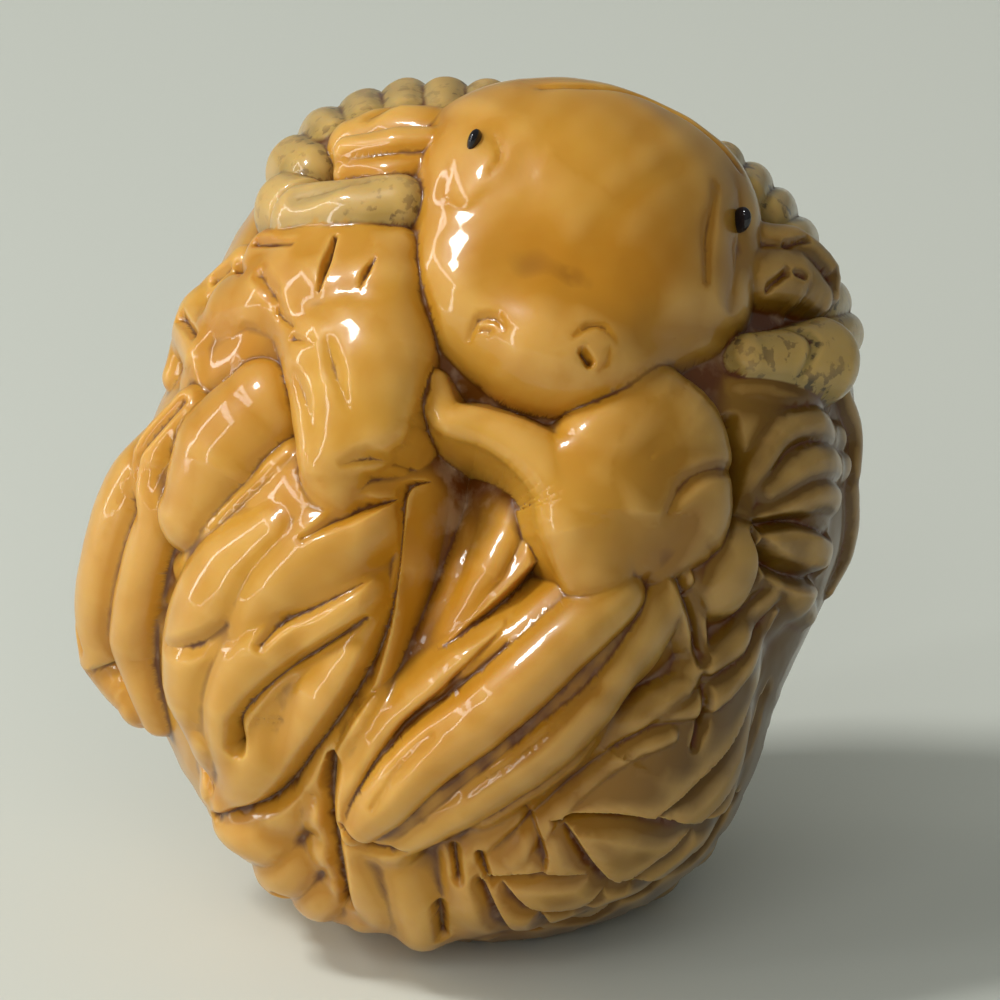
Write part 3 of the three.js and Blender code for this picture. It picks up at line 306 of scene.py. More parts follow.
LEFT, RIGHT = 1, -1                # the low side of a step, looking along its line
trunk = dict(
  base=0,
  softness=0.9,
  forms=[
    lobe([[-7.5, 9.1], [-11.5, 9.1], [-14, 7.5]], [3.4, 3.4, 3], [1.2, 1.4, 1.2]),
    lobe([[-8.5, -0.5], [-12.2, -5.5], [-13.2, -9.4], [-12, -14]],
      [4.6, 5.2, 4.8, 3.6], [1.7, 2.3, 2.1, 1.3]),
    lobe([[-7, -4.5], [-7.5, -9.4], [-9, -13]], [3, 3, 2.4], [1.5, 1.6, 1]),
    lobe([[6.5, -5.5], [2, -10], [-2.5, -13.4], [-5.5, -16]], [3.2, 4.6, 4.4, 3.2], [2.5, 2.8, 2.6, 2]),
    lobe([[-6.5, -16], [-5.5, -18.4], [-3, -21]], [2.6, 3.2, 3.2], [1.5, 1.5, 1.3]),
    lobe([[8, -5.5], [11, -3.5], [14, -2.5]], [3.4, 3.4, 3.2], [1.7, 1.6, 1.4]),
    lobe([[12, -9.4], [10.5, -14], [7.5, -17], [2, -19.7]], [4.6, 5.6, 5.2, 4.4], [1.6, 1.9, 1.8, 1.5]),
    lobe([[15.5, 4.5], [16.2, 0.6], [15.5, -3.5]], [3.8, 4, 3.4], [1.3, 1.4, 1.2]),
    lobe([[-12.5, -15.4], [-9.5, -18.4], [-7, -20.2]], [2.6, 2.8, 2.4], [1.3, 1.3, 1.1]),
    lobe([[-16.5, 4.5], [-18.6, 1.1], [-19.5, -3.5], [-19.7, -7.5], [-18.6, -10.2]],
      [1.7, 2.1, 2.2, 2.2, 1.5], [1.4, 2.2, 2.7, 2.9, 1.8]),
    lobe([[-15.8, 2], [-17.2, -2], [-17.9, -6.5], [-17.1, -10.7]],
      [1.4, 1.6, 1.6, 1.2], [1.3, 1.6, 1.8, 1.1]),
  ],
  locks=[
    # ridges of the belly
    lobe([[-2.9, 2], [-3.3, -3], [-4.6, -8.5]], [1.1, 1.2, 0.6], [0.1, 0.8, 0.3]),
    lobe([[-0.6, 2], [-1.5, -3], [-4.2, -9]], [0.9, 1, 0.5], [0.1, 0.7, 0.2]),
    lobe([[1.6, 1], [0.2, -3], [-3.4, -8.6]], [1.2, 1.2, 0.7], [0.1, 0.9, 0.3]),
    lobe([[2.8, -2], [0.8, -4.6], [-2.6, -7.6]], [0.7, 0.9, 0.5], [0.3, 0.7, 0.2]),
    # flutes of the left haunch
    lobe([[-9.6, 3], [-13, -0.2], [-15.2, -2.9]], [0.7, 0.9, 0.6], [0.34, 0.54, 0.27]),
    lobe([[-9.9, -0.9], [-12.5, -3.1], [-14, -6], [-14.5, -8.9], [-14.1, -11.6]],
      [1.2, 2.2, 2.3, 2.1, 1.2], [0.41, 0.75, 0.75, 0.61, 0.27]),
    lobe([[-4.6, -0.9], [-7.5, -2], [-9.6, -3.6], [-10.7, -5.2]],
      [1.4, 1.9, 1.6, 0.9], [0.48, 0.61, 0.54, 0.2]),
    lobe([[-5.3, -4], [-8, -5.6], [-10.7, -7.6], [-11.7, -9.9], [-12.1, -12.6]],
      [0.9, 1.5, 1.7, 1.4, 0.8], [0.41, 0.68, 0.68, 0.54, 0.2]),
    lobe([[-6, -7.3], [-8.3, -9.8], [-10.3, -12.1], [-12.5, -14.2]],
      [1, 1.9, 1.9, 0.9], [0.41, 0.68, 0.61, 0.27]),
    lobe([[-13.4, -11], [-13.7, -13.4]], [1.2, 0.9], [0.41, 0.34]),
    # strands of the right thigh
    lobe([[0.6, -5.2], [-2.2, -7.6], [-5, -10.1], [-6.5, -12.8], [-6.8, -14.6]],
      [0.7, 0.9, 1, 0.9, 0.6], [0.6, 0.8, 0.8, 0.8, 0.4]),
    lobe([[6.6, -3.6], [2, -7.9], [-0.4, -9.9], [-2.8, -11.8], [-4.8, -14], [-6, -15.4]],
      [1.3, 1.5, 1.5, 1.4, 1.3, 0.8], [0.9, 1.2, 1.2, 1.1, 1, 0.5]),
    lobe([[9.2, -3.4], [6.6, -8.3], [3.6, -11], [0.2, -13.6], [-3.4, -16.2]],
      [1.1, 1.5, 1.5, 1.3, 0.8], [0.8, 1.1, 1.1, 0.9, 0.4]),
    lobe([[9.6, -8.4], [7.6, -10], [4.6, -12.3], [1.2, -15.2], [-0.8, -17.2]],
      [0.7, 0.9, 0.9, 0.9, 0.6], [0.5, 0.7, 0.7, 0.6, 0.3]),
    lobe([[9, -10.6], [6.6, -12], [3.6, -14.6], [1.6, -16.8]], [0.5, 0.6, 0.7, 0.5], [0.3, 0.4, 0.4, 0.2]),
    # petals between the knee and the rump
    lobe([[8.7, -3.6], [10.2, -6.2], [9.9, -8]], [1, 1.1, 0.7], [0.6, 0.7, 0.4]),
    lobe([[12.4, -1.9], [11.9, -3.7]], [1.6, 1.7], [1, 0.9]),
    lobe([[10.9, -7.1], [12.4, -6], [13.9, -4.1]], [0.7, 0.9, 0.7], [0.5, 0.7, 0.5]),
    lobe([[8.4, -9.7], [10.9, -8.7], [13.4, -6.2], [14, -5]], [0.6, 0.7, 0.7, 0.5], [0.3, 0.5, 0.5, 0.3]),
    # folds of the right flank
    lobe([[16.1, 4.3], [14.4, 3.7], [13.5, 1.9], [13, 0.1]], [0.7, 0.8, 0.7, 0.6], [0.43, 0.58, 0.5, 0.29]),
    lobe([[12.9, 6.3], [14.9, 5.9], [17.4, 5.6]], [0.8, 0.9, 0.7], [0.29, 0.43, 0.36]),
    lobe([[14.4, 4], [16.1, 4.2], [18.2, 3.7]], [0.7, 0.9, 0.8], [0.36, 0.58, 0.43]),
    lobe([[14, 1], [15.8, 2.3], [18.4, 2.2]], [0.8, 1, 0.9], [0.5, 0.65, 0.5]),
    lobe([[13.8, -0.2], [16, 0.8], [17.8, 0.4]], [0.7, 0.9, 0.8], [0.43, 0.58, 0.43]),
    lobe([[14, -1.3], [15.8, -1.8], [17.4, -2.5]], [0.9, 1.4, 1], [0.65, 0.79, 0.58]),
    lobe([[14.4, -3.3], [16, -4.3], [16.9, -5.4]], [1.1, 1.4, 0.7], [0.5, 0.65, 0.36]),
    lobe([[18.4, 6], [19, 4], [19, 2]], [0.8, 0.9, 0.8], [0.5, 0.65, 0.5]),
    lobe([[18.9, 1.2], [19, -0.6], [18.8, -2.4], [18, -4]], [0.8, 0.9, 0.9, 0.6], [0.43, 0.58, 0.58, 0.36]),
    # tufts at the lower left and below
    lobe([[-12.8, -15.6], [-10.3, -16], [-8.3, -14.6]], [0.9, 1.3, 0.9], [0.39, 0.52, 0.39]),
    lobe([[-12.2, -17.4], [-10, -17.9], [-8, -16.6]], [0.8, 1.2, 0.9], [0.39, 0.52, 0.39]),
    lobe([[-10.4, -19.3], [-8.4, -19.4], [-7, -18.4]], [0.8, 1.1, 0.8], [0.33, 0.52, 0.33]),
    lobe([[-6.4, -16.3], [-5.6, -18.6], [-5.4, -20.8]], [0.9, 1.2, 0.9], [0.33, 0.45, 0.33]),
    lobe([[-4, -16.6], [-3, -19], [-2.8, -21.4]], [0.9, 1.2, 1], [0.33, 0.45, 0.33]),
    lobe([[-1.2, -17], [-0.8, -19], [0.2, -21.4]], [0.8, 1, 0.8], [0.26, 0.39, 0.26]),
  ],
  grooves=[
    # hollow under the chin
    groove([[-0.5, 3.2], [-1, 0], [-2.6, -4.5], [-4.4, -8.6]], [5, 5, 3.8, 1.6], [4.2, 3.6, 2.2, 0.4]),
    groove([[-3, 3.6], [-1.6, 3], [0.6, 2.2], [2.4, 0.4], [3.4, -2.4]], [1.6, 2, 2.2, 1.8, 1.2],
      [2, 3, 2.6, 1.6, 0.7]),
    groove([[-7.2, -0.6], [-5.8, 0.2], [-4.2, 0.5]], [0.5, 0.8, 0.5], [0.4, 0.8, 0.6]),
    # edge of the left haunch, and of the belly
    groove([[-2.5, 1.8], [-4, 1.2], [-4.1, -1.4], [-4.6, -5.5], [-5.9, -8.6], [-8.4, -12.2],
            [-10.4, -14.6], [-13.2, -15.3]],
      [0.9, 0.9, 0.8, 0.8, 0.8, 0.9, 0.8, 0.5], [2, 1.6, 1.1, 1.1, 1.2, 1.3, 1.2, 0.5]),
    groove([[3.2, -3.2], [1, -5], [-1.2, -6.5], [-3.1, -7.7]], [0.8, 0.9, 0.7, 0.5], [1.9, 1.3, 0.8, 0.3]),
    groove([[-7.4, -12.4], [-7.5, -14.4], [-7.1, -17], [-6.6, -19.7]],
      [0.8, 0.8, 0.8, 0.6], [1.2, 1.4, 1.3, 0.9]),
    groove([[-6.8, -15.2], [-5.4, -16.3], [-3.6, -16.6]], [0.5, 0.7, 0.4], [0.5, 0.7, 0.3]),
    # finer cuts in the haunch
    groove([[-10.3, -6.3], [-9.4, -5.3], [-8, -4.7], [-5, -3.2]],
      [0.5, 0.6, 0.6, 0.4], [0.41, 0.68, 0.54, 0.27]),
    groove([[-11.8, -11.4], [-11.5, -9.8], [-9.7, -8], [-7.4, -6.5], [-5.6, -5.3]],
      [0.7, 0.6, 0.6, 0.6, 0.4], [1.35, 0.81, 0.68, 0.81, 0.41]),
    groove([[-14.9, -6.4], [-13.3, -6.3], [-12, -5.4]], [0.8, 1, 0.7], [0.27, 0.54, 0.27]),
    groove([[-4.4, 0.6], [-6.5, -0.2], [-8.4, -1.3]], [0.6, 0.7, 0.4], [0.94, 0.81, 0.27]),
    groove([[-16.6, -5.5], [-16.1, -9], [-14.9, -12], [-13.6, -14]],
      [0.8, 0.8, 0.8, 0.5], [0.81, 0.94, 0.81, 0.41]),
    groove([[-19.2, -0.5], [-19.2, -3.5], [-18.8, -6.5]], [0.5, 0.6, 0.4], [0.41, 0.68, 0.27]),
    # finer cuts in the thigh
    groove([[1.3, -6.6], [-0.8, -8.4], [-3.4, -10.3], [-4.4, -11.6]],
      [0.5, 0.6, 0.6, 0.4], [0.3, 0.5, 0.5, 0.2]),
    groove([[-2.2, -10.4], [-3.8, -12], [-5, -13.8]], [0.5, 0.6, 0.4], [0.2, 0.3, 0.2]),
    groove([[5.4, -8.2], [2.8, -10.6], [-0.6, -13.2]], [0.5, 0.6, 0.4], [0.2, 0.35, 0.2]),
    # between the petals
    groove([[9.5, -3], [10.5, -5.3], [10.9, -7.2]], [0.7, 0.8, 0.6], [1, 1.2, 0.8]),
    groove([[13.4, -1.2], [13.6, -2.8], [12.9, -4.6]], [0.6, 0.7, 0.5], [0.9, 0.9, 0.4]),
    groove([[11, -8.8], [10.9, -10.3], [10.5, -11.5]], [0.5, 0.6, 0.4], [0.6, 0.8, 0.5]),
    groove([[12.9, 4.6], [13.1, 2.4], [12.6, 0.2], [11, -1.4]], [0.6, 0.7, 0.7, 0.6], [0.8, 1, 1, 0.6]),
    groove([[13.7, -1.9], [14.9, -3], [16.6, -3.4], [17.8, -3.2]],
      [0.7, 0.8, 0.8, 0.6], [1.2, 1, 0.9, 0.7]),
    groove([[14, -0.7], [15.6, -0.5], [17.4, -1.2]], [0.5, 0.6, 0.5], [0.9, 0.8, 0.5]),
    # leaf-shaped locks of the rump, laid one over the next
    Step([[14.4, -8.6], [12.6, -11.3], [10.4, -13.5], [8.4, -15.3]],
      [1.4, 1.7, 1.7, 1.2], [0.54, 0.81, 0.81, 0.54], LEFT),
    Step([[15, -10], [14.1, -12.2], [12.4, -14], [10.9, -15.3]],
      [1.2, 1.5, 1.4, 1], [0.54, 0.81, 0.68, 0.41], LEFT),
    Step([[4.4, -15.4], [6.9, -15.1], [8.9, -15.2], [11.1, -15.4], [13.6, -15]], [1, 1.5, 1.6, 1.4, 1],
      [1.08, 0.94, 0.94, 0.81, 0.41], RIGHT),
    Step([[4.4, -15.9], [5.6, -17.5], [6.9, -18.4], [8.9, -17], [11.1, -15.4]], [1, 1.6, 1.6, 1.5, 1],
      [0.68, 0.94, 1.08, 0.94, 0.41], RIGHT),
    Step([[7.7, -18.5], [9.6, -18.6], [11.6, -18], [13.4, -15.2]],
      [1, 1.4, 1.4, 0.9], [0.54, 0.81, 0.81, 0.41], RIGHT),
    Step([[0.7, -18.4], [3.4, -18], [6.4, -18.2]], [0.9, 1.2, 0.8], [0.94, 0.81, 0.54], RIGHT),
    Step([[1.2, -18.7], [2.5, -19.7], [4.9, -19.8], [6.7, -18.4]],
      [0.9, 1.3, 1.3, 0.8], [0.54, 0.81, 0.81, 0.41], RIGHT),
    Step([[4.9, -20], [6.9, -20.3], [8.7, -19.8], [10.1, -18.5]],
      [0.9, 1.2, 1.2, 0.8], [0.54, 0.81, 0.68, 0.41], RIGHT),
    Step([[3, -20], [3.7, -21.1], [5.7, -21.5], [7.2, -20.6]],
      [0.9, 1.2, 1.2, 0.8], [0.54, 0.81, 0.68, 0.41], RIGHT),
    Step([[0.2, -18.7], [1.5, -21], [3, -21.8]], [0.9, 1.2, 0.8], [0.68, 0.81, 0.54], RIGHT),
    Step([[2.4, -15], [3.2, -17], [3, -18.4]], [0.8, 1, 0.7], [0.27, 0.54, 0.27], RIGHT),
    # dark pits between the tufts
    groove([[-1.3, -17.4], [-1.1, -18.5]], 0.5, 0.8),
    groove([[-2.1, -19.8], [-1.9, -21.2]], 0.5, 0.8),
    groove([[0, -17.4], [0.4, -18.4]], 0.4, 0.6),
    groove([[-9.9, -18.8], [-9.7, -18.9]], 0.5, 0.8),
  ],
)

left_arm = dict(
  softness=1.5,
  forms=[
    lobe([[-13.2, 10.4], [-9.5, 11.4], [-5.2, 11.8]], [2.6, 2.9, 2.6], [1.8, 2.6, 2.5]),
    lobe([[-5.4, 11], [-5.2, 7.8], [-5.2, 4.4]], [2.8, 2.7, 1.5], [2.6, 3.1, 2.7]),
    lobe([[-8.4, 10.2], [-7.8, 7.5], [-7.7, 3.4]], [3, 2.5, 1.8], [2.6, 3.1, 2.6]),
    lobe([[-6.6, 8.4], [-6.4, 6], [-6.3, 4]], [2.6, 2.6, 2], [3, 3.3, 2.9]),
    lobe([[-14.8, 9.6], [-14, 7.8], [-14, 6.3]], [1.8, 1.6, 1], [1.5, 1.6, 1]),
    lobe([[-7.2, 4], [-7.6, 1.8], [-7.7, -0.8]], [2, 1.8, 1], [2.7, 2.4, 1.3]),
    lobe([[-11, 13], [-7.5, 13.6], [-4.4, 13.1]], [1.8, 1.8, 1.5], [1.8, 2.1, 2]),
    lobe([[-12.3, 12.6], [-14.6, 10], [-15.9, 7.2]], [1.2, 1.4, 1], [0.9, 1.1, 0.7]),
  ],
  grooves=[
    groove([[-6.9, 13], [-7.2, 11.6], [-7.5, 10.2]], [0.2, 0.35, 0.15], [0.5, 0.8, 0.2]),
    groove([[-4.9, 11.8], [-5.3, 11.1], [-5.6, 10.4]], [0.15, 0.3, 0.15], [0.2, 0.5, 0.1]),
    groove([[-12.1, 8.3], [-11.3, 8.6], [-10.4, 8.2]], [0.5, 0.7, 0.4], [0.6, 1, 0.4]),
    groove([[-10.4, 11.2], [-9.8, 10.3], [-9.2, 9.4]], [0.8, 0.8, 0.5], [0.4, 0.5, 0.2]),
    groove([[-6.9, 7.6], [-6.5, 6.2], [-5.9, 4.6]], [0.7, 0.8, 0.5], [0.2, 0.4, 0.1]),
    groove([[-8.6, 6.6], [-8, 5.2], [-7.6, 3.8]], [0.6, 0.7, 0.5], [0.1, 0.3, 0.1]),
    groove([[-9.4, 10.4], [-9.5, 9.4], [-8.7, 8.6]], [0.3, 0.4, 0.3], [0.2, 0.4, 0.2]),
    groove([[-8.6, 8], [-7.6, 7.6]], 0.4, [0.3, 0.1]),
    groove([[-13.5, 11.8], [-12.8, 12.4]], [0.5, 0.4], [0.7, 0.4]),
    groove([[-12.4, 12.4], [-11.5, 11.6]], [0.5, 0.4], [0.6, 0.4]),
    groove([[-14.8, 9.6], [-14, 8.6]], [0.5, 0.4], [0.6, 0.4]),
    groove([[-10.9, 13.1], [-9, 12.7]], [0.5, 0.4], [0.5, 0.3]),
    groove([[-6.3, 2.2], [-5.2, 2.5], [-3.8, 2.3]], [0.4, 0.6, 0.4], [0.2, 0.6, 0.5]),
  ],
)

left_knee = dict(
  softness=1,
  forms=[
    lobe([[-11.8, 5.6], [-13.8, 3.2], [-15.4, 0]], [2.7, 3.2, 2.2], [2.1, 2.6, 1.9]),
    lobe([[-15, 5.3], [-16.5, 2.8], [-17.1, -0.5]], [1.3, 1.6, 1.2], [1.8, 2.2, 1.5]),
  ],
  grooves=[groove([[-14.5, 5.3], [-16.5, 2.3], [-17.1, -1]], 0.6, [0.4, 0.6, 0.4])],
)

right_knee = dict(
  softness=2,
  forms=[
    lobe([[-2.5, 6.8], [-1.7, 5], [0.4, 4.3], [2.5, 3.2], [4.4, 1.4], [5, -0.6], [5.8, -3.3]],
      [0.8, 0.9, 1, 1.3, 1.8, 2, 1.6], [0.8, 1, 1.3, 1.9, 2.6, 3, 2.7]),
    lobe([[8.6, 4.8], [9.9, 3.4], [10.2, 1.2]], [3.2, 3.4, 3.2], [2.9, 3.2, 3.1]),
    lobe([[7, 3], [7.4, 0], [6.7, -2.9]], [3, 3, 1.8], [3.3, 3.4, 2.5]),
    lobe([[10.6, 0.6], [10.7, -0.7], [9, -2.6]], [2.2, 2.2, 1.4], [2.9, 2.8, 2.2]),
  ],
  grooves=[
    groove([[8.5, -0.2], [9.3, 1.2], [10.6, 1.9], [12.8, 2]], [0.5, 0.7, 0.7, 0.5], [0.15, 0.4, 0.4, 0.3]),
    groove([[10.4, 6], [11.7, 4.6], [12.4, 2.8]], [0.4, 0.5, 0.3], [0.1, 0.2, 0.1]),
  ],
)

left_ear = dict(
  softness=0.5,
  forms=[
    lobe([[-1.4, 19.1], [-4.2, 19.5], [-6.6, 19]], [1.2, 1.8, 1.4], [2.1, 2.3, 1.9]),
    lobe([[-6.6, 17.9], [-4.2, 18.2], [-1.8, 18.3]], [0.7, 0.8, 0.7], [2.6, 2.8, 2.7]),
    lobe([[-6.4, 17.1], [-4.2, 17], [-2, 17.6]], [1, 1.1, 0.8], [2.1, 2.2, 2.1]),
  ],
  grooves=[groove([[-5.2, 19], [-4, 19.7], [-2.8, 19.7]], [0.8, 1.1, 0.7], [0.3, 0.6, 0.3])],
)

right_ear = dict(
  softness=0.5,
  forms=[
    lobe([[13.9, 12.2], [15.8, 12], [17.2, 11]], [1.5, 1.7, 1], [2, 2.2, 1.8]),
    lobe([[14, 13.8], [15.8, 13.3], [17.4, 12.1], [17.8, 11]], [0.6, 0.8, 0.7, 0.5], [2.2, 2.4, 2.2, 1.8]),
  ],
  grooves=[
    groove([[14.7, 12.8], [15.6, 12.9]], 0.3, 0.4),
    groove([[14.2, 11], [14.8, 11.5]], 0.35, 0.5),
    groove([[15.2, 11.5], [15.6, 11.3]], 0.3, 0.4),
  ],
)

# Each horn is a row of rings that runs back from the brow, round the ear, to a stout tip.
LEFT_HORN_LINE = [[4.5, 20.4], [0, 20.6], [-4.2, 20.6], [-7.4, 19.6], [-9.2, 17.8], [-9.8, 15.7]]
RIGHT_HORN_LINE = [[12.4, 17.6], [14.5, 16.3], [16, 14.5], [17.2, 12.4], [18, 10.5], [18.5, 9]]
HORN_BEADS = 7                     # on the right horn; the left one has two more
RING_REACH = 0.5                   # millimetres that a ring's line runs to either side


def rings(line, count, first, last):
    """Rings across a horn, that grow from its first size to its last."""
    at = along(line, count)
    run = unit(np.gradient(at, axis=0))
    cross = np.stack([-run[:, 1], run[:, 0]], 1)
    sizes = np.linspace(first, last, count)
    return [lobe([p - RING_REACH * c, p + RING_REACH * c], size, size)
            for p, c, size in zip(at, cross, sizes)]


left_horn = dict(
  softness=0.2,
  forms=[
    *rings(LEFT_HORN_LINE, HORN_BEADS + 2, 1.25, 1.8),
    lobe([[-9.3, 15.2], [-6.8, 15.3], [-4.2, 15.6]], [1.7, 1.7, 1.5], [2.4, 2.7, 2.6]),
  ],
  grooves=[
    groove([[-10.4, 14.2], [-9.4, 15.4], [-8, 16.6]], [0.5, 0.6, 0.4], [0.5, 0.6, 0.3]),
    groove([[-8.6, 14.8], [-7, 15.2], [-5.4, 15.6]], [1, 1, 0.7], [0.3, 0.4, 0.2]),
  ],
)

right_horn = dict(
  softness=0.2,
  forms=[
    *rings(RIGHT_HORN_LINE, HORN_BEADS, 1.2, 1.2),
    lobe([[14.3, 8.1], [16.2, 7.8], [17.8, 7.8]], [1.2, 1.7, 2.1], [1.7, 2.4, 2.9]),
  ],
  grooves=[groove([[15.2, 9], [15.8, 8], [15.5, 6.6]], [0.5, 0.6, 0.4], [0.3, 0.4, 0.2])],
)

ROLL = 16                          # degrees that the head rolls to its left
HEAD_SOFTNESS = 2.5                # how far the eggs of the head melt together
HEAD_LIFT = 3                      # height of the head's surface that its cuts are placed on
head = dict(
  softness=0.1,
  forms=[
    Mass([
      dict(place=[5.1, 13.1], out=9.2, half_sizes=[8.4, 7.6, 8], roll=ROLL),        # skull
      dict(place=[5, 15.4], out=8, half_sizes=[8.2, 5.8, 6.6], roll=ROLL),          # crown
      dict(place=[0.3, 13], out=9.6, half_sizes=[4.3, 7, 5.8], roll=4),             # left cheek
      dict(place=[10.2, 12.9], out=7.6, half_sizes=[3.4, 5.2, 5.6], roll=8),        # right cheek
      dict(place=[-0.4, 10.6], out=12, half_sizes=[3.7, 3.9, 5], roll=ROLL),        # left jaw
      dict(place=[4, 8.2], out=13, half_sizes=[5.6, 4.1, 6.2], roll=ROLL),          # muzzle
      dict(place=[8.4, 10.6], out=10.4, half_sizes=[4.6, 3.6, 5.4], roll=ROLL),     # right jaw
    ], HEAD_SOFTNESS),
  ],
  grooves=[
    # flats and folds round the right eye, and the flat of the right cheek
    groove([[12.6, 16], [13, 13.6], [12.8, 10.6]], [1.8, 2.2, 1.6], [0.3, 0.6, 0.4], HEAD_LIFT),
    groove([[11.2, 15.3], [10.9, 13.3], [11.1, 11.3]], [0.6, 0.7, 0.5], [0.2, 0.35, 0.2], HEAD_LIFT),
    groove([[12, 13.1], [12.7, 12.6], [13.4, 12.9]], 0.35, [0.2, 0.35, 0.2], HEAD_LIFT),
    groove([[12.1, 12.1], [12.9, 11.7], [13.5, 12]], 0.35, [0.2, 0.3, 0.2], HEAD_LIFT),
    groove([[8.6, 8.5], [11.4, 9.2], [13.4, 9.4]], [1.5, 2, 1.5], [0.2, 0.5, 0.4], HEAD_LIFT),
    # lumpy lid of the left eye
    groove([[-1.5, 17.4], [-1.8, 15.8], [-0.7, 14.8], [0.4, 15.5]],
      [0.6, 0.7, 0.7, 0.5], [0.05, 0.14, 0.14, 0.05], HEAD_LIFT),
    groove([[0.7, 17.8], [1, 16.9], [0.5, 16.2]], 0.5, [0.1, 0.2, 0.1], HEAD_LIFT),
    # edge of the lip, and the band over the brow
    groove([[-3.3, 14.4], [-3.3, 12.6], [-2.6, 10.4], [-1.8, 8.3], [-0.6, 7.2], [1.4, 6.4]], 0.5,
      [0.1, 0.25, 0.3, 0.3, 0.3, 0.1], HEAD_LIFT),
    groove([[3, 20.3], [8, 20.1], [11, 18.4], [12.8, 16.8]], 0.5, [0.2, 0.5, 0.5, 0.3], HEAD_LIFT),
    # nostrils, and the mouth that shows as a line under the muzzle
    groove([[-0.5, 8.9], [0, 9.6], [0.8, 9.5], [1.2, 9]],
      [0.4, 0.5, 0.5, 0.3], [0.2, 0.35, 0.35, 0.2], HEAD_LIFT),
    groove([[0.1, 9.1], [0.5, 9]], 0.3, 0.25, HEAD_LIFT),
    groove([[4.5, 8.3], [5.2, 8.8], [6, 8.8], [6.6, 8.2]],
      [0.25, 0.35, 0.35, 0.25], [0.1, 0.24, 0.22, 0.1], HEAD_LIFT),
    groove([[5, 7.6], [5.3, 7.2]], [0.35, 0.4], [0.8, 0.7], HEAD_LIFT),
    groove([[6.3, 7.9], [6.2, 7.2], [5.8, 6.8]], [0.2, 0.3, 0.2], [0.08, 0.16, 0.08], HEAD_LIFT),
  ],
)

brow_band = dict(
  softness=0.5,
  forms=[lobe([[2.8, 20.5], [6, 20.5], [10, 19], [12.9, 17]], [0.7, 1, 1.1, 0.8], [1.2, 1.5, 1.5, 1.2])],
  grooves=[],
)


# The fleece: long locks combed down and out from the spine, and short cuts round the sides.
FLEECE_LOCKS = 10                  # rows, each with an inner and an outer lock on both sides
SPINE = [[2, 19.5], [3.2, 12], [2.4, 2], [0, -8], [-3, -17]]
INNER_LOCK = dict(out=[0.3, 4, 7.8, 11], down=[0, 1.4, 4.6, 9.5], start=0)
OUTER_LOCK = dict(out=[8.5, 12.4, 15.5, 18], down=[2.6, 6.6, 11, 16.5], start=2)
RIM_SHARE = 0.97


def within_rim(place):
    share = math.hypot(*place) / (RIM_SHARE * float(rim_radius(np.arctan2(place[1], place[0]))))
    return [place[0] / share, place[1] / share] if share > 1 else list(place)


fleece = dict(softness=0.2, forms=[], grooves=[])
SIDE_CUTS = 40                     # combed downwards round the sides, between the fleece and the face
SIDE_FROM, SIDE_TO = 0.74, 1.1     # shares of the rim
BESIDE_STRIPS = 1.03               # share of the rim where the cuts meet the strips of the left flank
STRIPS_BEYOND = -0.8               # cosine of the angle past which those strips lie
COMBED = 0.22                      # radians
for angle in np.arange(SIDE_CUTS) / SIDE_CUTS * 2 * np.pi:
    end = angle - COMBED * np.cos(angle)
    share = BESIDE_STRIPS if np.cos(angle) < STRIPS_BEYOND else SIDE_TO
    at = np.array([angle, (angle + end) / 2, end])
    radius = rim_radius(at % (2 * np.pi)) * [SIDE_FROM, (SIDE_FROM + share) / 2, share]
    line = np.stack([radius * np.cos(at), radius * np.sin(at)], 1)
    trunk["grooves"].append(groove(line, [0.5, 1.2, 0.6], [0.3, 0.8, 0.4], back=True))
for side in (-1, 1):
    for u, v in along(SPINE, FLEECE_LOCKS):
        for lock in (INNER_LOCK, OUTER_LOCK):
            line = [within_rim([u + side * o, v + side + lock["start"] - d])
                    for o, d in zip(lock["out"], lock["down"])]
            fleece["forms"].append(lobe(line, [1.2, 1.9, 1.9, 0.6], [0.7, 1.4, 1.4, 0.6], back=True))

FORMS = dict(trunk=trunk, fleece=fleece, left_arm=left_arm, left_knee=left_knee, right_knee=right_knee,
             left_ear=left_ear, left_horn=left_horn, right_ear=right_ear, right_horn=right_horn, head=head,
             brow_band=brow_band)
EDGE_SOFTNESS = 0.25               # where one form meets the next
LOCK_SOFTNESS = 0.3
CUT_SOFTNESS = 0.1
BURIED = 2                         # a form this far under the surface leaves no mark on it
MARK_SIZES = (0.035, 0.03, 0.02)


def tool_marks(q):
    """The slight unevenness that scrapers leave: crossing waves whose numbers keep them out of step."""
    marks = np.zeros(len(q))
    for turn, size in enumerate(MARK_SIZES):
        pitch = 1.1 + 0.9 * turn
        marks += size * (np.sin(pitch * q[:, 0] + 2.1 * turn + 1.3 * np.sin(0.7 * q[:, 1]))
                         * np.sin(pitch * 0.8 * q[:, 1] - 1.7 * turn + np.sin(0.9 * q[:, 2])))
    return marks


